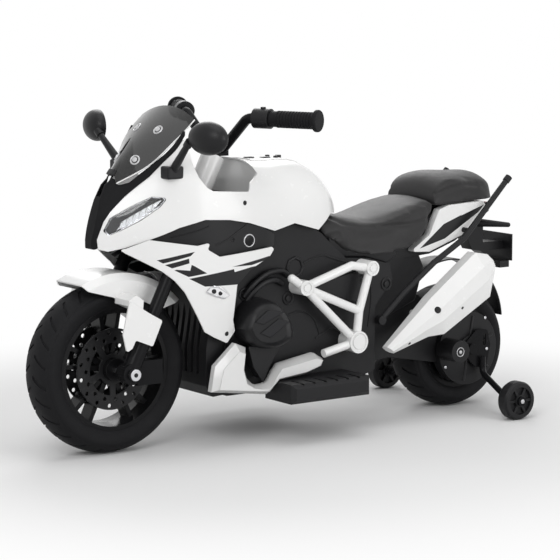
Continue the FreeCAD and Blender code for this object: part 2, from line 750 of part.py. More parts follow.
def chassis_half():
    """Left black half shell of the chassis."""
    outer = slab(CHASSIS_OUTLINE, PANEL_ROUND, 0, CHASSIS_HALF_W)
    inner_wire = rounded_outline(CHASSIS_OUTLINE, PANEL_ROUND, 0).makeOffset2D(-CASE_WALL)
    return outer.cut(Part.Face(inner_wire).extrude(Vector(0, CHASSIS_HALF_W - CASE_WALL, 0)))


def charging_socket(shell):
    """Right chassis half with the round hole of its charging socket."""
    x, z = SOCKET_PLACE
    centre = Vector(x, 0, z)
    inside = CASE_WALL - CHASSIS_HALF_W
    collar = cross_rod(centre, -CHASSIS_HALF_W - SOCKET_PROUD, inside, SOCKET_R + CASE_WALL)
    return joined([shell, collar]).cut(cross_rod(centre, -FAR, inside + 1, SOCKET_R))


def footrest(side_well):
    """Foot board at the side, ribbed on top; the right one has a well for the pedal."""
    back, front = FOOTREST_BACK_X, FOOTREST_FRONT_X
    top = FOOTREST_TOP_Z
    board = block(back, front, CHASSIS_HALF_W, FOOTREST_OUT_Y, top - FOOTREST_T, top)
    edges = [e for e in board.Edges if all(abs(p.Y - FOOTREST_OUT_Y) < 1e-6 for p in e.Vertexes)]
    board = board.makeChamfer(8.0, edges)
    wall = FOOTREST_WALL
    deck = top - PEDAL_WELL - wall
    board = board.cut(block(back + wall, front - wall, CHASSIS_HALF_W + wall, FOOTREST_OUT_Y - 12, 0, deck))
    grooves = []
    pitch = (front - back) / (FOOTREST_RIBS + 1)
    for i in range(FOOTREST_RIBS):
        x = back + pitch * (i + 1)
        grooves.append(block(x - 3, x + 3, CHASSIS_HALF_W + 48, FOOTREST_OUT_Y + 1, top - 3, top + 1))
    board = board.cut(Part.Compound(grooves))
    if not side_well:
        return board
    well = block(
        PEDAL_PIVOT_X - 10, PEDAL_PIVOT_X + PEDAL_LENGTH + 6, PEDAL_Y - PEDAL_W / 2 - SIDE_PLAY,
        PEDAL_Y + PEDAL_W / 2 + SIDE_PLAY, top - PEDAL_WELL, top + 1,
    )
    pivot = Vector(PEDAL_PIVOT_X, 0, PEDAL_PIVOT_Z)
    reach = PEDAL_W / 2 + 6
    pin = cross_rod(pivot, PEDAL_Y - reach, PEDAL_Y + reach, PEDAL_PIN_R + RUN_FIT)
    return mirrored(board.cut(well).cut(pin))


def accelerator_pedal():
    """Foot pedal that presses down on its rear pin, in the right footrest."""
    pivot = Vector(PEDAL_PIVOT_X, 0, PEDAL_PIVOT_Z)
    plate = block(
        PEDAL_PIVOT_X, PEDAL_PIVOT_X + PEDAL_LENGTH - 4, PEDAL_Y - PEDAL_W / 2, PEDAL_Y + PEDAL_W / 2,
        PEDAL_PIVOT_Z - PEDAL_T / 2, PEDAL_PIVOT_Z + PEDAL_T / 2,
    )
    ribs = []
    for i in range(5):
        x = PEDAL_PIVOT_X + 16 + 18 * i
        half = PEDAL_W / 2 - 4
        ribs.append(block(x, x + 8, PEDAL_Y - half, PEDAL_Y + half, PEDAL_PIVOT_Z, PEDAL_PIVOT_Z + 6))
    plate = joined([plate] + ribs)
    plate.rotate(pivot, LEFT, -PEDAL_TILT)
    barrel = cross_rod(pivot, PEDAL_Y - PEDAL_W / 2, PEDAL_Y + PEDAL_W / 2, PEDAL_PIN_R + 2.5)
    pin = cross_rod(pivot, PEDAL_Y - PEDAL_W / 2 - 5, PEDAL_Y + PEDAL_W / 2 + 5, PEDAL_PIN_R)
    return mirrored(joined([plate, barrel, pin]))


def cushion(stations):
    """Crowned pad: flat bottom, sides drawn in to the edge, top rising to its crown."""
    wires = []
    for x, low, edge, crown, bottom_half, edge_half in stations:
        waist = (bottom_half + edge_half) / 2 - 0.06 * (edge - low)
        mid = (low + edge) / 2
        ring = ((-bottom_half, low), (bottom_half, low), (edge_half, edge), (-edge_half, edge))
        corners = [Vector(x, y, z) for y, z in ring]
        wires.append(Part.Wire([
            Part.LineSegment(corners[0], corners[1]).toShape(),
            Part.Arc(corners[1], Vector(x, waist, mid), corners[2]).toShape(),
            Part.Arc(corners[2], Vector(x, 0, crown), corners[3]).toShape(),
            Part.Arc(corners[3], Vector(x, -waist, mid), corners[0]).toShape(),
        ]))
    return Part.makeLoft(wires, True, False)


def rider_seat():
    """Saddle behind the tank, its skirts over the chassis."""
    seat = cushion(SEAT_STATIONS)
    under = slab(grown(CHASSIS_OUTLINE, SEAM), PANEL_ROUND, -CHASSIS_HALF_W - SEAM, CHASSIS_HALF_W + SEAM)
    tail = slab(TAIL_OUTLINE, PANEL_ROUND, -TAIL_HALF_W - SEAM, TAIL_HALF_W + SEAM)
    for lift in (0, SEAM):
        seat = seat.cut(tail.translated(Vector(0, 0, lift)))
    rear = prism(grown(FAIRING_OUTLINE[9:15], SIDE_PLAY), PANEL_ROUND)
    tank = upper_half(-SIDE_PLAY).common(rear)
    return biggest(seat.cut(under).cut(tank).cut(mirrored(tank)))


def pillion_pad():
    """Raised pad for a second rider."""
    return cushion(PAD_STATIONS)


def tail_frame():
    """Black frame under the seat, with the mudguard over the rear wheel."""
    beam = slab(TAIL_OUTLINE, PANEL_ROUND, -TAIL_HALF_W, TAIL_HALF_W)
    wire = rounded_outline(TAIL_OUTLINE, PANEL_ROUND, CASE_WALL - TAIL_HALF_W).makeOffset2D(-CASE_WALL)
    trough = Part.Face(wire).extrude(Vector(0, 2 * (TAIL_HALF_W - CASE_WALL), 0))
    for lift in (0, 2 * CASE_WALL):
        beam = beam.cut(trough.translated(Vector(0, 0, lift)))
    centre = REAR_AXLE + Vector(*MUDGUARD_OFFSET)
    half = MUDGUARD_HALF_W
    inner = MUDGUARD_R - WALL
    guard = turned(((inner, -half), (inner, half), (MUDGUARD_R, half), (MUDGUARD_R, -half)), centre)
    wedge = [centre] + [at_angle(centre, FAR, degrees) for degrees in (28, 65, 100, 140, 175)]
    sector = Part.Face(Part.makePolygon([p + Vector(0, -half - 1, 0) for p in wedge + wedge[:1]]))
    guard = guard.common(sector.extrude(Vector(0, 2 * half + 2, 0)))
    front, back = at_angle(centre, inner + 1, 35), at_angle(centre, inner + 1, 58)
    floor = TAIL_OUTLINE[:4]
    web_outline = (
        (front.x, front.z), (back.x, back.z),
        (back.x, between(floor, back.x) + CASE_WALL / 2), (front.x, between(floor, front.x) + CASE_WALL / 2),
    )
    web = slab(web_outline, 1.0, -half / 2, half / 2)
    return joined([beam, guard, web])


def rail_bridge(radius):
    """Short bar from the tail frame out to the handle beside the pad."""
    top, bend = (Vector(x, 0, z) for x, z in RAIL_ROUTE[:2])
    return cross_rod((top + bend * 7) / 8, TAIL_HALF_W, RAIL_Y, radius)


def tail_cover():
    """White cover at the side of the tail, with a hole for the handle's bar."""
    cover = slab(TAIL_COVER_OUTLINE, PANEL_ROUND, TAIL_HALF_W, TAIL_COVER_Y)
    return biggest(cover.cut(rider_seat())).cut(rail_bridge(RAIL_R - 1 + SEAM))


def grab_rail():
    """Handle beside the pad that runs down as a frame tube to the chassis."""
    points = [Vector(x, RAIL_Y, z) for x, z in RAIL_ROUTE]
    ring = Part.Wire(Part.makeCircle(RAIL_R, points[0], points[1] - points[0]))
    tube = Part.makePolygon(points).makePipeShell([ring], True, False, 1)
    tip = points[0]
    cap = rod(tip + (tip - points[1]).normalize() * 3, tip - (tip - points[1]).normalize() * 9, RAIL_R + 1.5)
    end = points[-1]
    lug = cross_rod(end, CHASSIS_HALF_W, RAIL_Y + RAIL_R + 2, RAIL_R + 3)
    return joined([tube, cap, lug, rail_bridge(RAIL_R - 1)])


def tail_light():
    """Red lamp across the back of the tail frame."""
    x = min(x for x, _ in TAIL_OUTLINE)
    lamp = block(x - 14, x, -TAIL_HALF_W + 14, TAIL_HALF_W - 14, TAIL_LIGHT_Z, TAIL_LIGHT_Z + 13)
    edges = [e for e in lamp.Edges if all(abs(p.X - (x - 14)) < 1e-6 for p in e.Vertexes)]
    return lamp.makeFillet(4.0, edges)


def plate_hanger():
    """Arm under the tail light with the number plate, its lamp bar and two blade indicators."""
    arm = slab(HANGER_OUTLINE, PANEL_ROUND, -HANGER_HALF_W, HANGER_HALF_W)
    arm = arm.cut(slab(grown(TAIL_OUTLINE, 0.0), PANEL_ROUND, -TAIL_HALF_W, TAIL_HALF_W)).cut(tail_light())
    arm = biggest(arm)
    low = Vector(REAR_END_X + PLATE_T, 0, 296)
    plate = block(low.x - PLATE_T, low.x, -PLATE_HALF_W, PLATE_HALF_W, low.z, low.z + 56)
    bracket = block(low.x, -505, -HANGER_HALF_W, HANGER_HALF_W, low.z + 22, low.z + 40)
    bar = block(low.x - 1, low.x + 24, -PLATE_HALF_W + 8, PLATE_HALF_W - 8, low.z - 14, low.z)
    pieces = [arm, plate, bracket, bar]
    for side in (-1, 1):
        root = Vector(-498, side * (HANGER_HALF_W - 4), 378)
        tip = Vector(-498 - BLADE_LENGTH, side * (HANGER_HALF_W + BLADE_Y), 374)
        blade = Part.makeCone(9, 5, (tip - root).Length, root, tip - root)
        pieces += [blade, Part.makeSphere(5, tip)]
    return joined(pieces)


def muffler():
    """Silencer on the left side: a faceted can that narrows to its pipe."""
    wires = []
    middle = (MUFFLER_IN_Y + MUFFLER_OUT_Y) / 2
    for top, bottom, share in MUFFLER_SECTIONS:
        half = (MUFFLER_OUT_Y - MUFFLER_IN_Y) / 2 * share
        a, b = Vector(top[0], 0, top[1]), Vector(bottom[0], 0, bottom[1])
        ring = []
        for along, across in MUFFLER_FACETS:
            ring.append(a + (b - a) * along + Vector(0, middle + half * across, 0))
        wires.append(Part.makePolygon(ring + ring[:1]))
    can = Part.makeLoft(wires, True, True)
    hanger_y = MUFFLER_IN_Y + 14
    post = cross_rod(Vector(-288, 0, 212), SWING_IN_Y + SWING_ARM_T, hanger_y, POST_R)
    return joined([can, post])


SWING_IN_Y = REAR_TYRE_W / 2 + 3.0
CASE_BACK_Y = SWING_IN_Y
GEAR_A_Y = CASE_BACK_Y + CASE_WALL + SIDE_PLAY
GEAR_B_Y = GEAR_A_Y + GEAR_T + SIDE_PLAY
CASE_OUT_Y = GEAR_B_Y + GEAR_T + SIDE_PLAY + CASE_WALL
IDLER_REACH = MODULE * (WHEEL_TEETH + IDLER_SMALL_TEETH) / 2
PINION_REACH = MODULE * (IDLER_LARGE_TEETH + PINION_TEETH) / 2
IDLER = at_angle(REAR_AXLE, IDLER_REACH, IDLER_ANGLE)
PINION = at_angle(IDLER, PINION_REACH, PINION_ANGLE)


def arm_plate(y0, y1):
    """One side of the swing arm, from the chassis to the rear axle."""
    root_x = min(x for x, z in CHASSIS_OUTLINE if z < REAR_AXLE.z + 20)
    outline = (
        (root_x, 206), (root_x - 90, 212),
        (REAR_AXLE.x + 20, REAR_AXLE.z + 36), (REAR_AXLE.x - 30, REAR_AXLE.z + 28),
        (REAR_AXLE.x - 36, REAR_AXLE.z - 24), (REAR_AXLE.x + 20, REAR_AXLE.z - 34),
        (root_x - 60, 126), (root_x, 120),
    )
    return slab(outline, 12.0, y0, y1)


def swing_arm():
    """Rear fork with its spray guards, and the back of the gearbox in its left side."""
    root_x = min(x for x, z in CHASSIS_OUTLINE if z < REAR_AXLE.z + 20)
    guard = slab(SPRAY_GUARD_OUTLINE, PANEL_ROUND, SWING_IN_Y, SWING_IN_Y + SWING_ARM_T)
    left = arm_plate(SWING_IN_Y, SWING_IN_Y + SWING_ARM_T).fuse(guard)
    right = mirrored(left)
    beam = block(root_x - 36, root_x, -SWING_IN_Y - 2, SWING_IN_Y + 2, 130, 196)
    back = cross_rod(REAR_AXLE, CASE_BACK_Y, CASE_BACK_Y + CASE_WALL, CASE_R)
    body = joined([left, right, beam, back])
    space = cross_rod(REAR_AXLE, CASE_BACK_Y + CASE_WALL, FAR, CASE_R + SEAM)
    hub = cross_rod(REAR_AXLE, CASE_BACK_Y - 1, CASE_BACK_Y + CASE_WALL + 1, HUB_R + SIDE_PLAY)
    axle = cross_rod(REAR_AXLE, -FAR, FAR, AXLE_R)
    idler_pin = cross_rod(IDLER, CASE_BACK_Y + CASE_WALL - 1, CASE_OUT_Y - CASE_WALL, PIN_R)
    return joined([body.cut(space).cut(hub).cut(axle), idler_pin])


def gearbox_cover():
    """Round cover over the gears, with a pot for the motor and a hub cap."""
    y0 = CASE_BACK_Y + CASE_WALL
    inside = CASE_OUT_Y - CASE_WALL
    shell = cross_rod(REAR_AXLE, y0, CASE_OUT_Y, CASE_R)
    shell = shell.cut(cross_rod(REAR_AXLE, y0 - 1, inside, CASE_R - CASE_WALL))
    pot = cross_rod(PINION, inside, CASE_OUT_Y + MOTOR_LENGTH + CASE_WALL, MOTOR_R + SIDE_PLAY + CASE_WALL)
    hub_cap = cross_rod(REAR_AXLE, CASE_OUT_Y - 1, CASE_OUT_Y + 6, HUB_R + 4)
    ribs = []
    for degrees in (100, 160, 220, 280):
        tip = at_angle(REAR_AXLE, CASE_R - 8, degrees)
        ribs.append(rod(Vector(REAR_AXLE.x, CASE_OUT_Y, REAR_AXLE.z), tip + Vector(0, CASE_OUT_Y, 0), 3.0))
    body = joined([shell, pot, hub_cap] + ribs)
    motor_space = cross_rod(PINION, CASE_OUT_Y, CASE_OUT_Y + MOTOR_LENGTH, MOTOR_R + SIDE_PLAY / 2)
    shaft_hole = cross_rod(PINION, inside - 1, CASE_OUT_Y + 1, PIN_R + SIDE_PLAY)
    axle = cross_rod(REAR_AXLE, 0, FAR, AXLE_R)
    axle_play = cross_rod(REAR_AXLE, 0, inside, AXLE_R + SIDE_PLAY)
    return body.cut(motor_space).cut(shaft_hole).cut(axle).cut(axle_play)


def drive_motor():
    """Motor can in the cover's pot."""
    can = cross_rod(PINION, CASE_OUT_Y, CASE_OUT_Y + MOTOR_LENGTH, MOTOR_R)
    return can.cut(cross_rod(PINION, CASE_OUT_Y - 1, CASE_OUT_Y + 16, PIN_R + RUN_FIT))


def gear(teeth, centre, y0, y1, tooth_angle):
    """Spur gear with involute teeth, one of them centred on an angle."""
    pressure = math.radians(20)
    pitch_r = MODULE * teeth / 2
    base_r = pitch_r * math.cos(pressure)
    root_r = pitch_r - 1.2 * MODULE
    tip_r = pitch_r + 0.85 * MODULE
    half_tooth = math.pi / (2 * teeth) - GEAR_BACKLASH / (2 * pitch_r) + math.tan(pressure) - pressure
    flank = []
    steps = 4
    start_r = max(base_r, root_r)
    for i in range(steps + 1):
        r = start_r + (tip_r - start_r) * i / steps
        roll = math.acos(min(1.0, base_r / r))
        flank.append((r, half_tooth - (math.tan(roll) - roll)))
    if root_r < base_r:
        flank.insert(0, (root_r, flank[0][1]))
    points = []
    for tooth in range(teeth):
        middle = math.radians(tooth_angle) + 2 * math.pi * tooth / teeth
        for r, away in [(r, -a) for r, a in flank] + flank[::-1]:
            angle = middle + away
            points.append(Vector(centre.x + r * math.cos(angle), y0, centre.z + r * math.sin(angle)))
    face = Part.Face(Part.makePolygon(points + points[:1]))
    return face.extrude(Vector(0, y1 - y0, 0))


def idler_gear():
    """Large and small gear in one piece on the gearbox pin."""
    small = gear(IDLER_SMALL_TEETH, IDLER, GEAR_A_Y, GEAR_B_Y, IDLER_ANGLE + 180 - 180 / IDLER_SMALL_TEETH)
    large = gear(IDLER_LARGE_TEETH, IDLER, GEAR_B_Y, GEAR_B_Y + GEAR_T, PINION_ANGLE)
    return joined([small, large]).cut(cross_rod(IDLER, 0, FAR, PIN_R + RUN_FIT))


def motor_pinion():
    """Small gear and its shaft, in the motor."""
    teeth = gear(PINION_TEETH, PINION, GEAR_B_Y, GEAR_B_Y + GEAR_T, PINION_ANGLE + 180 - 180 / PINION_TEETH)
    return joined([teeth, cross_rod(PINION, GEAR_B_Y, CASE_OUT_Y + 15, PIN_R)])


def tyre(centre, radius, bead_r, width):
    """Hollow tyre, open at its beads."""
    inside = tyre_ring(centre, radius - TYRE_WALL, bead_r - 1, width - 2 * TYRE_WALL)
    return tyre_ring(centre, radius, bead_r, width).cut(inside)


def tyre_ring(centre, radius, bead_r, width):
    """Ring with a round tread and bulging sides."""
    half = width / 2

    def at(r, y):
        return Vector(centre.x, y, centre.z + r)
    shoulder = bead_r + (radius - bead_r) * 0.55
    bead_half = half - 7
    side_r = (bead_r + shoulder) / 2
    turn_r = radius - (radius - shoulder) * 0.36
    crown_r = radius - 1.5
    outer = [Part.LineSegment(at(bead_r, -bead_half), at(bead_r, bead_half)).toShape()]
    left = [
        (at(bead_r, bead_half), at(side_r, half - 1.5), at(shoulder, half)),
        (at(shoulder, half), at(turn_r, half * 0.74), at(crown_r, half * 0.36)),
    ]
    crown = (at(crown_r, half * 0.36), at(radius, 0), at(crown_r, -half * 0.36))
    right = [
        (at(crown_r, -half * 0.36), at(turn_r, -half * 0.74), at(shoulder, -half)),
        (at(shoulder, -half), at(side_r, 1.5 - half), at(bead_r, -bead_half)),
    ]
    outer += [Part.Arc(*points).toShape() for points in left + [crown] + right]
    return Part.Face(Part.Wire(outer)).revolve(Vector(centre.x, 0, centre.z), LEFT, 360)


def front_rim():
    """Rim, hub and twin spokes of the front wheel."""
    half = FRONT_TYRE_W / 2 - 7
    bead, inner = FRONT_BEAD_R, FRONT_BEAD_R - RIM_DEPTH
    barrel = turned(((bead, -half), (bead, half), (inner, half), (inner - 3, 0), (inner, -half)), FRONT_AXLE)
    hub = cross_rod(FRONT_AXLE, -half - 3, half + 3, HUB_R)
    spokes = []
    for pair_number in range(SPOKE_PAIRS):
        for lean in (-1, 1):
            degrees = 90 + 360.0 * pair_number / SPOKE_PAIRS
            root = at_angle(FRONT_AXLE, HUB_R - 4, degrees + lean * SPOKE_SPREAD)
            tip = at_angle(FRONT_AXLE, inner + 1, degrees + lean * SPOKE_SPREAD)
            across = (tip - root).cross(LEFT).normalize() * (SPOKE_W / 2)
            corners = [root + across, tip + across * 0.8, tip - across * 0.8, root - across]
            back = [c + Vector(0, -SPOKE_DEPTH / 2, 0) for c in corners + corners[:1]]
            spokes.append(Part.Face(Part.makePolygon(back)).extrude(Vector(0, SPOKE_DEPTH, 0)))
    wheel = joined([barrel, hub] + spokes)
    return wheel.cut(cross_rod(FRONT_AXLE, -FAR, FAR, AXLE_R + RUN_FIT))


def brake_disc():
    """Drilled disc on the left of the front hub, with five arms to it."""
    y0 = SPOKE_DEPTH / 2 + 6
    ring = cross_rod(FRONT_AXLE, y0, y0 + DISC_T, DISC_R)
    ring = ring.cut(cross_rod(FRONT_AXLE, y0 - 1, y0 + DISC_T + 1, DISC_BORE_R))
    centre = cross_rod(FRONT_AXLE, y0, y0 + DISC_T, HUB_R + 8)
    arms = []
    for i in range(SPOKE_PAIRS):
        degrees = 126 + 360.0 * i / SPOKE_PAIRS
        start, end = at_angle(FRONT_AXLE, HUB_R + 4, degrees), at_angle(FRONT_AXLE, DISC_BORE_R + 4, degrees)
        across = (end - start).cross(LEFT).normalize() * 6
        corners = [start + across, end + across, end - across, start - across]
        face = Part.Face(Part.makePolygon([c + Vector(0, y0, 0) for c in corners + corners[:1]]))
        arms.append(face.extrude(Vector(0, DISC_T, 0)))
    disc = joined([ring, centre] + arms)
    holes = [cross_rod(FRONT_AXLE, y0 - 1, y0 + DISC_T + 1, HUB_R)]
    for i in range(DISC_HOLES):
        for radius, turn in ((DISC_BORE_R + 8, 0.0), (DISC_R - 8, 0.5)):
            spot = at_angle(FRONT_AXLE, radius, 360.0 * (i + turn) / DISC_HOLES)
            holes.append(cross_rod(spot, y0 - 1, y0 + DISC_T + 1, DISC_HOLE_R))
    return disc.cut(Part.Compound(holes))


def rear_rim():
    """Rear rim with a dished web, hub and the wheel gear on its left end."""
    half = REAR_TYRE_W / 2 - 7
    bead, inner = REAR_BEAD_R, REAR_BEAD_R - RIM_DEPTH
    bore = AXLE_R + RUN_FIT
    profile = (
        (bead, -half), (bead, half), (inner, half), (inner - 2, 8), (HUB_R + 6, 8), (HUB_R, 20),
        (HUB_R, half + 1), (bore, half + 1), (bore, -half - 1), (HUB_R, -half - 1), (HUB_R, -20),
        (HUB_R + 6, -8), (inner - 2, -8), (inner, -half),
    )
    wheel = turned(profile, REAR_AXLE)
    collar = cross_rod(REAR_AXLE, half, GEAR_A_Y + 1, HUB_R)
    teeth = gear(WHEEL_TEETH, REAR_AXLE, GEAR_A_Y, GEAR_A_Y + GEAR_T, IDLER_ANGLE)
    whole = joined([wheel, collar, teeth])
    return whole.cut(cross_rod(REAR_AXLE, -FAR, FAR, AXLE_R + RUN_FIT))


def rear_axle():
    """Rear axle with a nut at each end."""
    end = CASE_OUT_Y + 18
    shaft = cross_rod(REAR_AXLE, -end, end, AXLE_R)
    nuts = [cross_rod(REAR_AXLE, side * (end - 4) - 4, side * (end - 4) + 4, AXLE_R + 5) for side in (-1, 1)]
    return joined([shaft] + nuts)


BRACKET_Y = CASE_OUT_Y + 7.0


def training_arm():
    """Slotted bracket on the axle and the bent bar down to the training wheel."""
    axle = REAR_AXLE
    plate_outline = (
        (axle.x + 14, axle.z + 14), (axle.x - 14, axle.z + 38), (axle.x - 44, axle.z + 37),
        (axle.x - 52, axle.z + 4), (axle.x - 42, axle.z - 42), (axle.x - 12, axle.z - 40),
        (axle.x + 14, axle.z - 14),
    )
    plate = slab(plate_outline, 8.0, BRACKET_Y, BRACKET_Y + BRACKET_T)
    plate = plate.cut(cross_rod(axle, 0, FAR, AXLE_R))
    slot_low = Vector(axle.x - 36, 0, axle.z + 4)
    slot = slab(
        ((slot_low.x - 4, slot_low.z), (slot_low.x + 4, slot_low.z), (slot_low.x + 4, slot_low.z + 24),
         (slot_low.x - 4, slot_low.z + 24)), 3.9, 0, FAR,
    )
    wheel = training_axle()
    y = BRACKET_Y + BRACKET_T + ARM_R - 1
    points = [
        Vector(axle.x - 27, y, axle.z - 18), Vector(axle.x - 27, y, axle.z - 52),
        Vector(wheel.x, TRAINING_Y - TRAINING_W / 2 - 16, wheel.z),
        Vector(wheel.x, TRAINING_Y + TRAINING_W / 2 + 4, wheel.z),
    ]
    bar = bent_rod(points, ARM_R, 16.0)
    stop = cross_rod(wheel, TRAINING_Y - TRAINING_W / 2 - 6, TRAINING_Y - TRAINING_W / 2 - 1, ARM_R + 4)
    nut = cross_rod(wheel, TRAINING_Y + TRAINING_W / 2 + 1, TRAINING_Y + TRAINING_W / 2 + 6, ARM_R + 3)
    return joined([plate.cut(slot), bar, stop, nut])


def training_axle():
    """Centre of a training wheel, just behind the rear axle."""
    return Vector(REAR_AXLE.x - 8, 0, TRAINING_R)


def training_wheel():
    """Small solid wheel with a spoked face."""
    centre = training_axle()
    y0, y1 = TRAINING_Y - TRAINING_W / 2, TRAINING_Y + TRAINING_W / 2
    r = TRAINING_R
    tyre = turned(
        ((r - 3, y0), (r, y0 + 5), (r, y1 - 5), (r - 3, y1), (r - 11, y1), (r - 12, y1 - 7),
         (ARM_R + 6, y1 - 7), (ARM_R + 6, y1), (ARM_R + RUN_FIT, y1), (ARM_R + RUN_FIT, y0),
         (ARM_R + 6, y0), (ARM_R + 6, y0 + 7), (r - 12, y0 + 7), (r - 11, y0)),
        centre,
    )
    spokes = []
    for i in range(TRAINING_SPOKES):
        tip = at_angle(centre, r - 11, 360.0 * i / TRAINING_SPOKES)
        root = at_angle(centre, ARM_R + 4, 360.0 * i / TRAINING_SPOKES)
        across = (tip - root).cross(LEFT).normalize() * 2.5
        corners = [root + across, tip + across, tip - across, root - across]
        face = Part.Face(Part.makePolygon([c + Vector(0, y0 + 2, 0) for c in corners + corners[:1]]))
        spokes.append(face.extrude(Vector(0, TRAINING_W - 4, 0)))
    return joined([tyre] + spokes)


def fork():
    """Steering stem, yoke and the two fork tubes, one welded piece."""
    stem = rod(on_steering(YOKE_TOP - YOKE_T), on_steering(STEM_TOP), STEM_R)
    top = [rod(on_steering(YOKE_TOP - YOKE_T), on_steering(YOKE_TOP), STEM_R + 8)]
    tubes = []
    for side in (-1, 1):
        y = side * FORK_Y
        low = on_steering(AXLE_DROP + SLIDER_TOP - 70, FORK_OFFSET, y)
        high = on_steering(YOKE_TOP + FORK_TUBE_ABOVE_YOKE, FORK_OFFSET, y)
        tubes.append(rod(low, high, FORK_TUBE_R))
        lug_low = on_steering(YOKE_TOP - YOKE_T, FORK_OFFSET, y)
        lug_high = on_steering(YOKE_TOP, FORK_OFFSET, y)
        top.append(rod(lug_low, lug_high, FORK_TUBE_R + 3))
        side_way = (Vector(0, y, 0) + STEER_FORWARD * FORK_OFFSET).normalize()
        across = side_way.cross(STEER_UP).normalize() * 14
        root = on_steering(YOKE_TOP - YOKE_T)
        corners = [root + across, lug_low + across, lug_low - across, root - across]
        top.append(Part.Face(Part.makePolygon(corners + corners[:1])).extrude(STEER_UP * YOKE_T))
    return joined([stem] + top + tubes)


def fork_slider():
    """Lower leg of the fork, with the axle eye and the caliper lug behind it."""
    y = FORK_Y
    eye_r = SLIDER_R + 3
    foot = on_steering(AXLE_DROP, FORK_OFFSET, y)
    leg = rod(foot, on_steering(AXLE_DROP + SLIDER_TOP, FORK_OFFSET, y), SLIDER_R)
    eye = cross_rod(FRONT_AXLE, y - SLIDER_R + 3, y + SLIDER_R - 3, eye_r)
    caliper_at = on_steering(AXLE_DROP + 18, FORK_OFFSET - 40, y - 22)
    x, z = caliper_at.x, caliper_at.z
    caliper = block(x - 26, x + 30, y - 16, y + 8, z - 22, z + 24)
    body = joined([leg, eye, caliper])
    bore_low = on_steering(AXLE_DROP + SLIDER_TOP - 72, FORK_OFFSET, y)
    bore = rod(bore_low, on_steering(AXLE_DROP + SLIDER_TOP + 1, FORK_OFFSET, y), FORK_TUBE_R)
    return body.cut(bore).cut(cross_rod(FRONT_AXLE, 0, FAR, AXLE_R))


def front_axle():
    """Front axle with domed nuts outside the fork."""
    end = FORK_Y + SLIDER_R + 8
    shaft = cross_rod(FRONT_AXLE, -end, end, AXLE_R)
    nut = cross_rod(FRONT_AXLE, end - 8, end, AXLE_R + 5)
    nuts = [nut, mirrored(nut)]
    return joined([shaft] + nuts)


def front_fender():
    """White fender over the front tyre, with guards down the outside of the fork legs."""
    low_r = FRONT_TYRE_R + FENDER_GAP
    half = FENDER_HALF_W
    crown = low_r + WALL
    skirt_r = low_r - 44
    arch = turned(
        ((low_r, -half + 12), (low_r, half - 12), (low_r - 14, half - WALL),
         (skirt_r, half - WALL), (skirt_r, half),
         (crown - 13, half), (crown, half - 11), (crown, -half + 11), (crown - 13, -half), (skirt_r, -half),
         (skirt_r, -half + WALL), (low_r - 14, -half + WALL)),
        FRONT_AXLE,
    )
    arch = arch.cut(slab(FENDER_EDGE, PANEL_ROUND, -FAR, FAR))
    angles = (FENDER_FRONT_ANGLE, (FENDER_FRONT_ANGLE + FENDER_REAR_ANGLE) / 2, FENDER_REAR_ANGLE)
    wedge = [FRONT_AXLE] + [at_angle(FRONT_AXLE, FAR, degrees) for degrees in angles]
    sector = Part.Face(Part.makePolygon([p + Vector(0, -half - 1, 0) for p in wedge + wedge[:1]]))
    arch = arch.common(sector.extrude(Vector(0, 2 * half + 2, 0)))
    guard_y = FORK_Y + SLIDER_R + 1.5
    guard = slab(FORK_GUARD_OUTLINE, PANEL_ROUND, guard_y, guard_y + WALL)
    bridge = slab(FENDER_BRIDGE, 2.0, half - 2, guard_y + 1)
    guards = [joined([guard, bridge])]
    guards.append(mirrored(guards[0]))
    foot = on_steering(AXLE_DROP, FORK_OFFSET, FORK_Y)
    leg = rod(foot, on_steering(0, FORK_OFFSET, FORK_Y), SLIDER_R + SIDE_PLAY)
    legs = [leg, mirrored(leg)]
    return biggest(joined([arch] + guards).cut(Part.Compound(legs)))


def bar_route(side):
    """Points of one half of the handlebar, from its clamp to its end."""
    seat = on_steering(BAR_SEAT)
    bend, end = Vector(*BAR_BEND), Vector(*BAR_END)
    points = [seat, seat + Vector(0, BAR_CLAMP_Y, 0), bend, end]
    return [Vector(p.x, side * p.y, p.z) for p in points]


def handlebar():
    """Bent bar in one piece, with its clamp on the stem."""
    left = bent_rod(bar_route(1), BAR_R, 28.0)
    seat = on_steering(BAR_SEAT)
    clamp = block(seat.x - 15, seat.x + 15, -BAR_CLAMP_Y + 4, BAR_CLAMP_Y - 4, seat.z - 15, seat.z + 15)
    stem = rod(on_steering(YOKE_TOP), on_steering(STEM_TOP), STEM_R)
    cover = rod(on_steering(STEM_COVER_LOW), on_steering(STEM_COVER_TOP + RUN_FIT), STEM_COVER_R + SEAM)
    return joined([left, mirrored(left), clamp]).cut(stem).cut(cover)


def along_grip(distance):
    """Point on the left grip's line, measured in from the bar's end."""
    bend, end = Vector(*BAR_BEND), Vector(*BAR_END)
    return end + (bend - end).normalize() * distance


def grip():
    """Ribbed grip with a round end."""
    outer = along_grip(-2)
    inner = along_grip(GRIP_LENGTH)
    body = rod(outer, inner, GRIP_R)
    line = (inner - outer).normalize()
    ribs = []
    pitch = (GRIP_LENGTH - 26) / GRIP_RIBS
    for i in range(GRIP_RIBS):
        start = outer + line * (16 + pitch * i)
        ribs.append(Part.makeCylinder(GRIP_R + 1.2, pitch * 0.55, start, line))
    knob = Part.makeCylinder(BAR_END_R, 9, outer, line)
    knob = knob.makeFillet(3.0, [edge for edge in knob.Edges if edge.Closed])
    body = joined([body, knob] + ribs)
    return body.cut(rod(along_grip(0), along_grip(GRIP_LENGTH + 5), BAR_R))


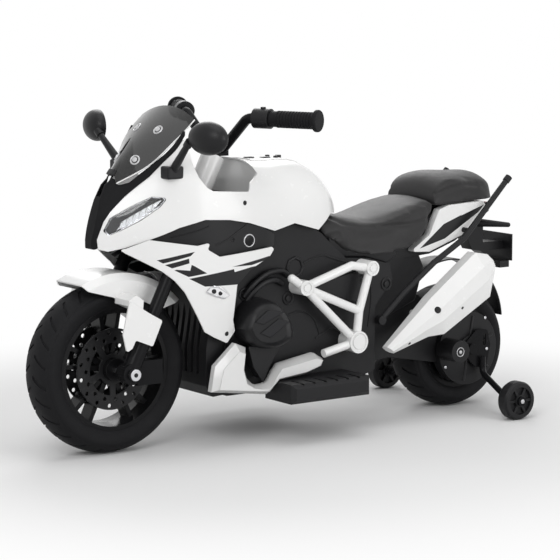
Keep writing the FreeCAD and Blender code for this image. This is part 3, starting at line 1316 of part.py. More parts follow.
def switch_housing():
    """Box at the inner end of the grip."""
    start, end = along_grip(GRIP_LENGTH + SEAM), along_grip(GRIP_LENGTH + SEAM + HOUSING_LENGTH)
    body = rod(start, end, HOUSING_R)
    bore = rod(along_grip(0), along_grip(GRIP_LENGTH + HOUSING_LENGTH + 20), BAR_R)
    return body.cut(bore)


def horn_place():
    """Centre of the horn button's hole on top of the left housing."""
    return along_grip(GRIP_LENGTH + HOUSING_LENGTH / 2)


def horn_button():
    """Push button on the left switch housing."""
    centre = horn_place()
    floor = centre.z + BAR_R + 2.5
    return Part.makeCylinder(HORN_R, HOUSING_R + 3 - BAR_R - 2.5, Vector(centre.x, centre.y, floor), UP)


def switch_housings():
    """Left and right housings; the left one has the horn button's hole."""
    left = switch_housing()
    right = mirrored(left)
    centre = horn_place()
    floor = centre + UP * (BAR_R + 2.5 - BUTTON_TRAVEL - 0.3)
    hole = Part.makeCylinder(HORN_R + RUN_FIT, 40, floor, UP)
    return Part.Compound([left.cut(hole), right])


def stem_cover():
    """White sleeve round the stem, under the handlebar."""
    low, high = on_steering(STEM_COVER_LOW), on_steering(STEM_COVER_TOP)
    sleeve = rod(low, high, STEM_COVER_R)
    sleeve = sleeve.cut(rod(on_steering(-70), on_steering(BAR_SEAT), STEM_COVER_R - WALL))
    collar = rod(on_steering(STEM_COVER_TOP - 7), high, STEM_COVER_R - 1)
    collar = collar.cut(rod(on_steering(-70), on_steering(STEM_TOP), STEM_R))
    return joined([sleeve, collar])


def mirror_axis():
    """Direction of the mirror's pin, up its stalk."""
    return (Vector(*MIRROR_NECK) - Vector(*MIRROR_FOOT)).normalize()


def mirror_stalk():
    """Foot on the fairing, stalk and the pin that the mirror turns on."""
    foot, neck = Vector(*MIRROR_FOOT), Vector(*MIRROR_NECK)
    line = mirror_axis()
    stalk = Part.makeCone(STALK_R + 2, STALK_R - 1, (neck - foot).Length, foot, line)
    pin = rod(neck, neck + line * MIRROR_PIN_LENGTH, MIRROR_PIN_R)
    pad = block(foot.x - 18, foot.x + 18, foot.y - 16, foot.y + 12, foot.z - 14, foot.z + 10)
    return joined([pad.makeFillet(4.0, pad.Edges), stalk, pin]).cut(UPPER[0.0])


def mirror_head():
    """Oval mirror housing with its socket for the pin."""
    head = Vector(*MIRROR_HEAD)
    dome = Part.makeSphere(1.0)
    scale = FreeCAD.Matrix()
    scale.scale(Vector(MIRROR_DEPTH, MIRROR_HALF_LENGTH, MIRROR_HALF_HEIGHT))
    shape = dome.transformGeometry(scale)
    shape = shape.cut(block(-FAR, -MIRROR_DEPTH * 0.25, -FAR, FAR, -FAR, FAR))
    glass = block(-MIRROR_DEPTH * 0.25 - 1, -MIRROR_DEPTH * 0.25 + 1.5, -FAR, FAR, -FAR, FAR)
    shape = shape.cut(glass.common(dome.transformGeometry(scaled_matrix(0.9))))
    shape.rotate(Vector(0, 0, 0), UP, MIRROR_SWEEP)
    shape.translate(head)
    neck = Vector(*MIRROR_NECK)
    socket = rod(neck + mirror_axis() * 0.4, neck + mirror_axis() * MIRROR_PIN_LENGTH, MIRROR_PIN_R + 4)
    room = rod(neck - mirror_axis() * 30, neck + mirror_axis() * 0.4, STALK_R + 3)
    pin_end = neck + mirror_axis() * (MIRROR_PIN_LENGTH + 0.4)
    pin_room = rod(neck - mirror_axis(), pin_end, MIRROR_PIN_R + RUN_FIT)
    return biggest(joined([shape, socket]).cut(room).cut(pin_room))


def scaled_matrix(share):
    """Scale of a smaller mirror oval, for the recess of its glass."""
    scale = FreeCAD.Matrix()
    scale.scale(Vector(MIRROR_DEPTH, MIRROR_HALF_LENGTH * share, MIRROR_HALF_HEIGHT * share))
    return scale


def panel_top(x):
    """Height of the control panel's top at a place along the tank."""
    return between([(s[0], s[2]) for s in TANK_STATIONS], x) + PANEL_PROUD


def rocker(place, pin_z):
    """Rocker switch on its pin."""
    x, y = place
    long, wide = ROCKER_LENGTH / 2, ROCKER_W / 2
    key = block(x - long, x + long, y - wide, y + wide, pin_z - 4, pin_z + 6)
    key = key.makeFillet(1.5, key.Edges)
    pin = Part.makeCylinder(ROCKER_PIN_R, ROCKER_W + 8, Vector(x, y - ROCKER_W / 2 - 4, pin_z), LEFT)
    return joined([key, pin])


def rocker_pin_z(place):
    """Height of a rocker's pin."""
    return panel_top(place[0]) - 5.0


def control_panel():
    """Panel let into the tank's top, with openings for its switches."""
    raised = upper_half(-PANEL_PROUD)
    half = block(PANEL_BACK_X, PANEL_FRONT_X, 0, PANEL_HALF_W, PANEL_LOW_Z, OPEN_TOP_Z).common(raised)
    panel = joined([half, mirrored(half)])
    cuts = []
    for place in (POWER_ROCKER, DIRECTION_ROCKER):
        x, y = place
        z = rocker_pin_z(place)
        cuts.append(block(
            x - ROCKER_LENGTH / 2 - SIDE_PLAY, x + ROCKER_LENGTH / 2 + SIDE_PLAY,
            y - ROCKER_W / 2 - SEAM, y + ROCKER_W / 2 + SEAM,
            z - 7.5, OPEN_TOP_Z,
        ))
        start = Vector(x, y - ROCKER_W / 2 - 4.2, z)
        cuts.append(Part.makeCylinder(ROCKER_PIN_R + RUN_FIT, ROCKER_W + 8.4, start, LEFT))
    x, y = BUTTON_PLACE
    cuts.append(Part.makeCylinder(BUTTON_R + RUN_FIT, 60, Vector(x, y, PANEL_LOW_Z + 4), UP))
    for cut in cuts:
        panel = panel.cut(cut)
    return panel


def push_button(place):
    """Round button in the control panel."""
    x, y = place
    floor = PANEL_LOW_Z + 4 + BUTTON_TRAVEL + SEAM
    return Part.makeCylinder(BUTTON_R, panel_top(x) + 3 - floor, Vector(x, y, floor), UP)


def battery():
    """Battery on the chassis floor."""
    length, width, height = BATTERY_SIZE
    floor = min(z for _, z in CHASSIS_OUTLINE) + CASE_WALL
    x0, x1 = BATTERY_X - length / 2, BATTERY_X + length / 2
    body = block(x0, x1, -width / 2, width / 2, floor, floor + height)
    top = floor + height
    half, side = length / 2 - 4, width / 2 - 4
    lid = block(BATTERY_X - half, BATTERY_X + half, -side, side, top, top + 4)
    tabs = []
    for x in (BATTERY_X - 50, BATTERY_X + 50):
        tabs.append(block(x - 4, x + 4, -12, -9, top, top + 12))
    return joined([body, lid] + tabs)


def control_module():
    """Electronics box on the inside of the left chassis wall."""
    length, depth, height = MODULE_SIZE
    x, z = MODULE_PLACE
    inside = CHASSIS_HALF_W - CASE_WALL
    box = block(x - length / 2, x + length / 2, inside - depth, inside, z - height / 2, z + height / 2)
    return box.makeFillet(2.0, box.Edges)


def body_screws():
    """Screws of the fairings and side panels."""
    x, z = FAIRING_SCREW
    rows = [(FAIRING_SCREW, upper_y(x, z))]
    x, z = LOWER_SCREW
    rows.append((LOWER_SCREW, lower_y(x, z)))
    x, z = SIDE_SCREW
    rows.append((SIDE_SCREW, lower_y(x, z) - SIDE_PANEL_RECESS))
    left = [screw(place, y) for place, y in rows]
    return Part.Compound(left + [mirrored(s) for s in left])


def pieces():
    """Every piece of the bike, by name."""
    left_fairing = fairing()
    left_chassis = chassis_half()
    wheel = training_wheel()
    mirror = mirror_head()
    return {
        "chassis_left": left_chassis,
        "chassis_right": charging_socket(mirrored(left_chassis)),
        "steering_head": steering_head(),
        "cockpit_tray": cockpit_tray(),
        "fairing_left": left_fairing,
        "fairing_right": mirrored(left_fairing),
        "nose_trim": nose_trim(),
        "windscreen": windscreen(),
        "headlight_lenses": pair(headlight_lens()),
        "headlight_reflectors": pair(headlight_reflector()),
        "side_panels": pair(side_panel()),
        "lower_fairings": pair(lower_fairing()),
        "front_indicators": pair(front_indicator()),
        "radiator_cover": radiator_cover(),
        "belly_pans": pair(belly_pan()),
        "engine_covers": pair(engine_cover()),
        "trellis_frames": pair(trellis()),
        "footrests": Part.Compound([footrest(False), footrest(True)]),
        "accelerator_pedal": accelerator_pedal(),
        "rider_seat": rider_seat(),
        "pillion_pad": pillion_pad(),
        "tail_frame": tail_frame(),
        "tail_covers": pair(tail_cover()),
        "grab_rails": pair(grab_rail()),
        "tail_light": tail_light(),
        "plate_hanger": plate_hanger(),
        "muffler": muffler(),
        "swing_arm": swing_arm(),
        "gearbox_cover": gearbox_cover(),
        "drive_motor": drive_motor(),
        "motor_pinion": motor_pinion(),
        "idler_gear": idler_gear(),
        "rear_rim": rear_rim(),
        "rear_tyre": tyre(REAR_AXLE, REAR_TYRE_R, REAR_BEAD_R, REAR_TYRE_W),
        "rear_axle": rear_axle(),
        "training_arms": pair(training_arm()),
        "training_wheel_left": wheel,
        "training_wheel_right": mirrored(wheel),
        "fork": fork(),
        "fork_sliders": pair(fork_slider()),
        "front_fender": front_fender(),
        "front_axle": front_axle(),
        "front_tyre": tyre(FRONT_AXLE, FRONT_TYRE_R, FRONT_BEAD_R, FRONT_TYRE_W),
        "front_rim": front_rim(),
        "brake_discs": pair(brake_disc()),
        "handlebar": handlebar(),
        "stem_cover": stem_cover(),
        "switch_housings": switch_housings(),
        "grips": pair(grip()),
        "horn_button": horn_button(),
        "mirror_stalks": pair(mirror_stalk()),
        "mirror_left": mirror,
        "mirror_right": mirrored(mirror),
        "control_panel": control_panel(),
        "power_rocker": rocker(POWER_ROCKER, rocker_pin_z(POWER_ROCKER)),
        "direction_rocker": rocker(DIRECTION_ROCKER, rocker_pin_z(DIRECTION_ROCKER)),
        "sound_button": push_button(BUTTON_PLACE),
        "battery": battery(),
        "control_module": control_module(),
        "body_screws": body_screws(),
    }


os.makedirs("parts", exist_ok=True)
for name, shape in pieces().items():
    shape.exportStep("parts/" + name + ".step")
    state = "valid" if shape.isValid() else "NOT VALID"
    print(name, len(shape.Solids), "solids", round(shape.Volume / 1000, 1), "cm3", state)
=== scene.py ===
"""Looks of a child's electric motorbike: its finishes, tyres, padding, lamps and small fittings.

Metres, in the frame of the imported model: +X forward, +Y to the rider's left, +Z up.
"""
import math

import bmesh
import bpy
from bpy.props import FloatProperty, FloatVectorProperty, IntProperty, PointerProperty
from mathutils import Matrix, Vector
from mathutils.geometry import interpolate_bezier, intersect_point_line


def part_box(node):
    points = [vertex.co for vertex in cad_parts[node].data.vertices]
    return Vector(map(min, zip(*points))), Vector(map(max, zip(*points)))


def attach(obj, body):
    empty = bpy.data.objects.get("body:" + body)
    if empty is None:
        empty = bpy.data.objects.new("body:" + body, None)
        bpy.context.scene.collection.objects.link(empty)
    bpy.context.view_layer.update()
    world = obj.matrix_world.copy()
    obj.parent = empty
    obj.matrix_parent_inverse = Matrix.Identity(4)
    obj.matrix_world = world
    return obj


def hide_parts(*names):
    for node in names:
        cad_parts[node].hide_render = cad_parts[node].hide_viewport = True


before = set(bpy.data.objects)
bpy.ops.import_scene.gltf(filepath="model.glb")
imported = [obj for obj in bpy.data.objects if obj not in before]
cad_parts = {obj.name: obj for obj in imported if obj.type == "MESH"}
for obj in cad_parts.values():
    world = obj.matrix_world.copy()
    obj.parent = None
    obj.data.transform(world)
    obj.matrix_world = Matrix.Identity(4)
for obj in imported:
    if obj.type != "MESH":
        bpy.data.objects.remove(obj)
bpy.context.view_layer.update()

bl_info = {
    "name": "Child's electric motorbike",
    "version": (1, 0, 0),
    "blender": (4, 5, 0),
    "location": "3D View > Sidebar > Motorbike",
    "description": "Dresses the motorbike's frame with finishes, tyres, padding, lamps and fittings",
    "category": "Object",
}

MM = 0.001
LEFT = (0, 1, 0)
UP = (0, 0, 1)
MARK_SOFTNESS = 0.4 * MM
WELD = 0.001 * MM
CAD_WELD = 0.01 * MM

# How finely round forms are cut
DISC_SEGMENTS = 40
RING_STEPS = 48
TUBE_SEGMENTS = 12
GLASS_SEGMENTS = 64
CREST_SEGMENTS = 3
SLAB_SEGMENTS = 4
LINE_STEPS = 6
SCREEN_EDGE_STEPS = 8
ENGINE_STEPS = 4
SHARP_ANGLE = math.radians(38)

# Half of a tyre's section: share of the half width, and share of the way from bead to tread
TYRE_PROFILE = (
    (0.0, 1.0), (0.12, 0.997), (0.24, 0.988), (0.36, 0.970), (0.48, 0.944), (0.60, 0.905), (0.71, 0.853),
    (0.81, 0.785), (0.875, 0.725), (0.895, 0.700), (0.890, 0.685), (0.905, 0.668), (0.945, 0.635),
    (0.980, 0.580), (0.998, 0.510), (0.995, 0.410), (0.972, 0.290), (0.930, 0.160), (0.880, 0.060),
    (0.840, 0.0), (0.760, 0.0), (0.760, 0.120), (0.800, 0.320), (0.700, 0.600), (0.400, 0.760), (0.0, 0.790),
)
FRONT_BEAD_SHARE = 117 / 162
REAR_BEAD_SHARE = 86 / 127

# A tyre's grooves: the profile's points where they begin and end, and how far below the end a face may lie
TREAD_START = 1
TREAD_END = 7
TREAD_MARGIN = 0.02

# Steps of the turn for each groove, those cut on either side, and the wall left round a cut
GROOVE_STEPS = 12
LEFT_CUTS = (0, 1)
RIGHT_CUTS = (6, 7)
GROOVE_WALL = 0.5 * MM

# Black marks on the lower fairing, as convex outlines seen from the left: distance forward and height
LOWER_MARKS = (
    ((346, 371), (307, 380), (280, 385.5), (288, 377.5), (336, 365)),
    ((333, 362), (291, 373), (290, 364), (321, 355.5)),
    ((317, 351.5), (286, 361), (262, 347), (244, 345), (291, 338)),
    ((286, 361), (280, 358), (262, 347), (291, 338)),
    ((290, 334.5), (244, 341.5), (199, 347.5), (188, 317), (259, 318)),
    ((244, 341.5), (158, 348.5), (115, 356), (133, 339), (188, 317)),
    ((203, 352), (114, 366), (113, 361), (158, 352)),
)
TAIL_MARKS = (
    ((-291, 345), (-353, 391), (-400, 407), (-356, 361)),
    ((-353, 391), (-461, 425), (-445, 410), (-356, 361)),
)

# Creases pressed into the sides of the seat and the pad: distance forward and height
SEAT_CREASE = ((-62, 428), (-92, 411), (-130, 402), (-176, 398), (-250, 397), (-306, 402), (-326, 413))
PAD_CREASE = ((-336, 452), (-372, 463), (-412, 468), (-450, 464))
CREASE_DEPTH = 2.6
CREASE_HALF_W = 7.0
CREASE_SIDEWAYS = 0.25

# Swelling and smoothing of the padding
SWELL_PRESSURE = 4.0
SWELL_FRAMES = 20
CLOTH_QUALITY = 4
HELD_VOXELS = 2
SMOOTH_ROUNDS = 4
SMOOTH_SHARE = 0.5

# Fittings, in millimetres: place on the left side and the way it faces
SCREEN_FASTENERS = (((356, 32.2, 555.4), (0.74, 0.47, 0.49)), ((307.4, 36.9, 609.8), (0.68, 0.21, 0.70)))
FASTENER_RING = {"radius": 8.5, "thickness": 1.7}
FASTENER_CAP = {"radius": 5.0, "height": 3.0}
# White line along the windscreen's edge, a painted highlight: places on the edge, and its radius
SCREEN_EDGE = ((389.8, 20, 512), (341.8, 58, 546), (303.8, 84, 589), (259.8, 90, 630))
SCREEN_GLINT_R = 1.5
SCREEN_CLIP = ((388, 0, 531.5), (0.78, 0, 0.62))
SCREEN_CLIP_SIZE = {"length": 20, "width": 12, "height": 3.5}
LAMP_FACE = ((411.2, 30.6), (341.8, 78.5))
LAMP_BROW = ((412, 441), (406, 450), (369, 473), (346, 486), (330, 485), (347, 476), (371, 460), (401, 438))
LAMP_BLOCK = ((419, 426), (411, 441), (401, 438), (392, 441), (404, 424), (413, 419))
LAMP_BROW_DEPTHS = (8.0, 4.5)
LAMP_BROW_RIM = 0.5
LAMP_FLUTES = (
    (396, 430, 440), (386, 436, 448), (376, 442, 455), (366, 448, 462), (356, 455, 468), (346, 463, 475),
)
LAMP_FLUTE_DEPTHS = (7.0, 5.5)
LAMP_FLUTE_LEAN = 3.0
LAMP_FLUTE_R = 2.6
INDICATOR_RIM = ((256, 308), (247, 316.5), (232, 315), (214, 304), (206, 297), (216, 293), (236, 298))
INDICATOR_RIM_R = 1.8
INDICATOR_Y = 124.0
INDICATOR_BULBS = ((240, 307.5), (226, 303))
INDICATOR_BULB = {"radius": 4.5, "height": 1.0}
BADGE = (156.9, 120.1, 397.8)
BADGE_RIM = {"radius": 11.5, "thickness": 1.4}
BADGE_DISC = {"radius": 11.0, "height": 1.0}

# Engine covers and the relief behind them: distances forward and heights, and how far out they lie
ENGINE_OUTLINE = (
    (182, 232), (168, 264), (147, 280), (117, 283), (87, 269),
    (66, 244), (59, 204), (94, 186), (141, 190), (167, 206),
)
ENGINE_RIM = 2.0
ENGINE_LAYERS = ((90, 1.0, 0), (126, 0.97, 3), (143, 0.90, 7), (152, 0.78, 11), (156.5, 0.62, 14))
ENGINE_BLADES = (
    ((154, 224), (114, 247), (92, 240), (134, 215)), ((166, 247), (138, 266), (106, 260), (150, 242)),
)
ENGINE_BLADE_Y = (150.0, 158.0)
ENGINE_BLADE_RIM = 1.5
ENGINE_FIN = ((155, 190), (90, 188), (113, 153), (127, 128), (146, 155))
ENGINE_FIN_Y = (92.0, 122.0)
SEAT_SKIRT = (
    (-58, 402), (-60, 372), (-95, 342), (-150, 338), (-205, 322), (-230, 336), (-214, 394), (-120, 398),
)
SEAT_SKIRT_Y = (66.0, 82.0)
REAR_SCREEN = (
    (-150, 330), (-205, 324), (-232, 337), (-296, 338), (-312, 304), (-292, 240), (-200, 205), (-165, 235),
)
REAR_SCREEN_Y = (38.0, 60.0)
PLATE_RIM = 4.0
SIDE_RIDGES = (((318, 413), (274, 422), (246, 431)), ((232, 395), (213, 401), (163, 429)))
RIDGE_R = 1.3
CHASSIS_Y = 92.0
CHASSIS_BOSSES = ((-195.5, 282, 11), (-131, 300, 7), (150, 291, 10), (46, 274, 11))
BOSS_RING_T = 2.5
BOSS_CAP_SHARE = 0.55
BOSS_CAP_HEIGHT = 2.5
CHASSIS_OCTAGON = (30, 333.4, 19)
OCTAGON_T = 3.2
OCTAGON_SIDES = 8
CHASSIS_PLATE = ((-14, 291), (-58, 302), (-122, 312), (-126, 252), (-50, 276))
CHASSIS_PLATE_Y = (90.0, 97.0)
CHASSIS_PLATE_RIM = 2.5
PIPE_R = 5.5
CHASSIS_PIPES = (
    ((152, 94, 286), (140, 100, 304), (122, 101, 318), (98, 101, 329), (66, 99, 330), (46, 93, 318)),
    ((150, 94, 272), (132, 101, 296), (110, 102, 310), (84, 101, 314), (62, 93, 304)),
)
SEAM_R = 1.8
CHASSIS_SEAMS = (
    ((10, 341), (-34, 352), (-62, 344), (-96, 334)), ((60, 236), (20, 246), (-14, 230), (-30, 196)),
    ((-150, 330), (-158, 262), (-150, 200)), ((-20, 190), (-60, 205), (-84, 190)),
)

# A belly pan's edge and its crest, corner by corner, and how far out the back, the edge and the crest lie
PAN_OUTLINE = (
    (236, 163), (189, 203), (166, 193), (170, 152), (163, 132), (151, 121), (137, 116.5), (123, 117),
    (112, 122), (101, 139), (88, 153), (4, 166), (-17, 153), (-10, 138), (26, 126), (97, 121), (118, 97),
    (245, 114),
)
PAN_CREST = (
    (224, 158), (188, 188), (176, 183), (180, 152), (172, 124), (155, 113.5), (137, 109.5), (121, 109),
    (111, 115), (99, 133), (88, 145), (6, 157), (-7, 152), (-2, 143), (30, 134), (96, 127), (120, 105),
    (234, 120),
)
PAN_Y = (108.0, 120.0, 134.0)
PAN_RIM = 1.2

# Fittings at the wheels and the silencer, and in the cockpit
# Black discs on the silencer where its holes are: painted shade in place of open holes
SILENCER_HOLE_SHADES = (
    ((-289.7, 140.7, 227.3), (0.34, 0.85, 0.40), 7), ((-356.5, 137.9, 225.3), (-0.2, 0.92, -0.33), 3.2),
    ((-227.5, 128.6, 163.5), (-0.18, 0.78, -0.61), 3.2),
)
HOLE_SHADE_HEIGHT = 0.8
REAR_BOLTS = ((-366.7, 72, 92.8), (-471.6, 72, 186.7), (-468.4, 82, 123.3))
REAR_BOLT = {"radius": 3.2, "height": 2.0}
POT_END = (-369, 118, 130.4)
POT_SCREW = {"radius": 3.6, "height": 1.5}
POT_RING = {"radius": 9.0, "thickness": 0.9}
TRAINING_CAP = {"radius": 4.5, "height": 1.2}
# Black disc in each front axle nut: painted shade of the nut's socket
AXLE_SOCKET_SHADE = {"radius": 4.2, "height": 0.6, "rim": 0.2}
PANEL_KNOBS = ((20, 14, 4.5), (20, -14, 4.5), (4, 0, 6.0))
KNOB_SINK = 1.5
KNOB_HEIGHT = 3.0
KNOB_RIM = 1.0
MIRROR_HEAD = (300, 196, 604)
MIRROR_OVAL = (38.0, 26.8)
MIRROR_SWEEP = math.radians(15)
MIRROR_GLASS_BACK = 5.4
MIRROR_GLASS_T = 1.0

# Stage, in metres and watts
CAMERA_PLACE = (2.7924, 3.9097, 0.9698)
CAMERA_AIM = (-0.57568, -0.80578, -0.13895)
CAMERA_LENS_MM = 157.333
SENSOR_WIDTH_MM = 36.0
FLOOR_SIZE = 12.0
FLOOR_PALE = (0.9, 0.9, 0.9, 1)
FLOOR_SHADOW = (0.6, 1.25)
PLAIN_WHITE = (1, 1, 1, 1)
SKY_LEVEL = 0.42
LAMP_AIM = (0, 0, 0.32)
LAMPS = (
    ("key", (2.6, 2.0, 2.3), 1.6, 36),
    ("fill", (-1.0, 3.2, 1.1), 1.8, 34),
    ("top", (0.2, 0.4, 3.2), 2.2, 22),
    ("back", (-1.4, -2.4, 2.2), 1.8, 30),
)


def colour_property(name, description, default):
    return FloatVectorProperty(
        name=name, description=description, subtype="COLOR", size=3, min=0, max=1, default=default,
    )


class BikeColours(bpy.types.PropertyGroup):
    """Colours of the motorbike's finishes."""

    white: colour_property(
        "White body", "Gloss white of fairings, fender, frame tubes and silencer", (0.82, 0.82, 0.815),
    )
    black: colour_property(
        "Black trim", "Satin black of the chassis, trim and covers", (0.0105, 0.0105, 0.0115),
    )
    rubber: colour_property("Rubber", "Tyres and grips", (0.0090, 0.0090, 0.0100))
    seat: colour_property(
        "Seat cover", "Leatherette of the seat and the pillion pad", (0.0155, 0.015, 0.0155),
    )
    steel: colour_property("Bare steel", "Axles, nuts and bolts", (0.58, 0.58, 0.60))
    lamp_red: colour_property("Red lens", "Tail light and red switches", (0.45, 0.012, 0.010))
    smoke: colour_property("Screen tint", "Smoke tint of the windscreen", (0.05, 0.05, 0.05))


class BikeSizes(bpy.types.PropertyGroup):
    """Sizes of what is modelled on the motorbike's frame."""

    tread_depth: FloatProperty(
        name="Tread depth", description="Depth of the tyres' slanted grooves",
        unit="LENGTH", min=0.0, default=2.4 * MM,
    )
    front_grooves: IntProperty(
        name="Front grooves", description="Grooves on each side of the front tyre", min=3, default=26,
    )
    rear_grooves: IntProperty(
        name="Rear grooves", description="Grooves on each side of the rear tyre", min=3, default=22,
    )
    tread_lean: FloatProperty(
        name="Groove lean", description="How far a groove runs on round the tyre towards its shoulder",
        subtype="ANGLE", default=math.radians(9),
    )
    pad_voxel: FloatProperty(
        name="Pad mesh", description="Mesh size of the padding before it swells",
        unit="LENGTH", min=2 * MM, default=5 * MM,
    )
    pad_swell: FloatProperty(
        name="Pad swell", description="Most that a point of the padding moves as it swells",
        unit="LENGTH", min=0.0, default=4 * MM,
    )
    edge_round: FloatProperty(
        name="Edge round", description="Radius that the light sees on moulded edges",
        unit="LENGTH", min=0.0, default=1.3 * MM,
    )


def colours():
    return bpy.context.scene.bike_colours


def sizes():
    return bpy.context.scene.bike_sizes


def connect(tree, node, inputs):
    """Gives a node's inputs their values, or links them where a socket is given."""
    for name, value in inputs.items():
        if isinstance(value, bpy.types.NodeSocket):
            tree.links.new(value, node.inputs[name])
        else:
            node.inputs[name].default_value = value


def shader_node(tree, kind, inputs=None, **settings):
    """A new node with its settings and its inputs."""
    made = tree.nodes.new(kind)
    for name, value in settings.items():
        setattr(made, name, value)
    connect(tree, made, inputs or {})
    return made


def math_node(tree, operation, *values, clamp=False):
    """Output of a sum or product of values and sockets."""
    made = shader_node(tree, "ShaderNodeMath", dict(enumerate(values)), operation=operation, use_clamp=clamp)
    return made.outputs[0]


def group_shell(name, inputs, outputs):
    """An empty shader node group with sockets named with their kinds, and its two end nodes."""
    tree = bpy.data.node_groups.new(name, "ShaderNodeTree")
    for side, socket_shades in (("INPUT", inputs), ("OUTPUT", outputs)):
        for socket, kind in socket_shades.items():
            tree.interface.new_socket(socket, in_out=side, socket_type="NodeSocket" + kind)
    return tree, tree.nodes.new("NodeGroupInput"), tree.nodes.new("NodeGroupOutput")


def tone_group():
    """Group: slow drift of colour and gloss over a moulding."""
    found = bpy.data.node_groups.get("surface_tone")
    if found:
        return found
    tree, given, put = group_shell(
        "surface_tone",
        {
            "Colour": "Color", "Spread": "Float", "Scale": "Float", "Roughness": "Float",
            "Rough Spread": "Float",
        },
        {"Colour": "Color", "Roughness": "Float"},
    )
    place = shader_node(tree, "ShaderNodeTexCoord")
    drift = shader_node(tree, "ShaderNodeTexNoise", {
        "Vector": place.outputs["Object"], "Scale": given.outputs["Scale"], "Detail": 3.0, "Roughness": 0.55,
    })
    smudge = shader_node(tree, "ShaderNodeTexNoise", {
        "Vector": place.outputs["Object"], "Scale": 60.0, "Detail": 4.0, "Roughness": 0.65,
    })
    centred = math_node(tree, "SUBTRACT", drift.outputs["Fac"], 0.5)
    shift = math_node(tree, "MULTIPLY_ADD", centred, given.outputs["Spread"], 1.0)
    tinted = shader_node(tree, "ShaderNodeVectorMath", {
        0: given.outputs["Colour"], "Scale": shift,
    }, operation="SCALE")
    rub = math_node(tree, "SUBTRACT", smudge.outputs["Fac"], 0.5)
    rough = math_node(
        tree, "MULTIPLY_ADD", rub, given.outputs["Rough Spread"], given.outputs["Roughness"], clamp=True,
    )
    connect(tree, put, {"Colour": tinted.outputs[0], "Roughness": rough})
    return tree


def grain_group():
    """Group: fine mould grain as a height."""
    found = bpy.data.node_groups.get("mould_grain")
    if found:
        return found
    tree, given, put = group_shell("mould_grain", {"Scale": "Float"}, {"Height": "Float"})
    place = shader_node(tree, "ShaderNodeTexCoord")
    pits = shader_node(tree, "ShaderNodeTexVoronoi", {
        "Vector": place.outputs["Object"], "Scale": given.outputs["Scale"], "Randomness": 1.0,
    }, feature="SMOOTH_F1")
    haze = shader_node(tree, "ShaderNodeTexNoise", {
        "Vector": place.outputs["Object"], "Scale": given.outputs["Scale"], "Detail": 2.0,
    })
    mixed = math_node(tree, "MULTIPLY_ADD", pits.outputs["Distance"], 0.6, haze.outputs["Fac"])
    connect(tree, put, {"Height": mixed})
    return tree


def edge_group():
    """Group: normal rounded over edges, and a mask that is 1 on them."""
    found = bpy.data.node_groups.get("soft_edge")
    if found:
        return found
    tree, given, put = group_shell("soft_edge", {"Radius": "Float"}, {"Normal": "Vector", "Edge": "Float"})
    rounded = shader_node(tree, "ShaderNodeBevel", {"Radius": given.outputs["Radius"]}, samples=4)
    plain = shader_node(tree, "ShaderNodeNewGeometry")
    along = shader_node(tree, "ShaderNodeVectorMath", {
        0: rounded.outputs["Normal"], 1: plain.outputs["Normal"],
    }, operation="DOT_PRODUCT")
    off = math_node(tree, "SUBTRACT", 1.0, along.outputs["Value"])
    strong = math_node(tree, "MULTIPLY", off, 4.0, clamp=True)
    connect(tree, put, {"Normal": rounded.outputs["Normal"], "Edge": strong})
    return tree


def leather_group():
    """Group: pebbled leatherette with fine creases, as a height."""
    found = bpy.data.node_groups.get("leather_grain")
    if found:
        return found
    tree, given, put = group_shell("leather_grain", {"Scale": "Float"}, {"Height": "Float"})
    place = shader_node(tree, "ShaderNodeTexCoord")
    bend = shader_node(tree, "ShaderNodeTexNoise", {
        "Vector": place.outputs["Object"], "Scale": 240.0, "Detail": 2.0,
    })
    warped = shader_node(tree, "ShaderNodeVectorMath", {
        0: bend.outputs["Color"], 1: [2.2 * MM] * 3, 2: place.outputs["Object"],
    }, operation="MULTIPLY_ADD")
    pebble = shader_node(tree, "ShaderNodeTexVoronoi", {
        "Vector": warped.outputs[0], "Scale": given.outputs["Scale"], "Randomness": 0.9,
    }, feature="DISTANCE_TO_EDGE")
    flat = shader_node(tree, "ShaderNodeMapRange", {
        "Value": pebble.outputs["Distance"], "From Min": 0.0, "From Max": 0.25, "To Min": 0.0, "To Max": 1.0,
    })
    connect(tree, put, {"Height": flat.outputs["Result"]})
    return tree


def half_plane_group():
    """Group: 1 on the inner side of a line drawn on the side of the bike, 0 on the other."""
    found = bpy.data.node_groups.get("half_plane")
    if found:
        return found
    tree, given, put = group_shell("half_plane", {"Across": "Vector", "Start": "Float"}, {"Inside": "Float"})
    place = shader_node(tree, "ShaderNodeTexCoord")
    reach = shader_node(tree, "ShaderNodeVectorMath", {
        0: place.outputs["Object"], 1: given.outputs["Across"],
    }, operation="DOT_PRODUCT")
    past = math_node(tree, "SUBTRACT", reach.outputs["Value"], given.outputs["Start"])
    soft = shader_node(tree, "ShaderNodeMapRange", {
        "Value": past, "From Min": -MARK_SOFTNESS / 2, "From Max": MARK_SOFTNESS / 2,
        "To Min": 0.0, "To Max": 1.0,
    })
    connect(tree, put, {"Inside": soft.outputs["Result"]})
    return tree


def middle_of(points):
    """Mean of an outline's points."""
    return sum((Vector(p) for p in points), Vector((0, 0))) / len(points)


def outline_mask(tree, points):
    """Socket that is 1 inside a convex outline, given in millimetres forward and up."""
    middle = middle_of(points)
    inside = 1.0
    for a, b in zip(points, points[1:] + points[:1]):
        run = Vector(b) - Vector(a)
        across = Vector((-run.y, run.x)).normalized()
        if across.dot(middle - Vector(a)) < 0:
            across = -across
        line = shader_node(tree, "ShaderNodeGroup", {
            "Across": (across.x, 0, across.y), "Start": across.dot(Vector(a)) * MM,
        }, node_tree=half_plane_group())
        inside = math_node(tree, "MINIMUM", inside, line.outputs["Inside"])
    return inside


def blank_material(name):
    """A new material with only its Principled shader and output."""
    material = bpy.data.materials.new(name)
    material.use_nodes = True
    return material, material.node_tree, material.node_tree.nodes["Principled BSDF"]


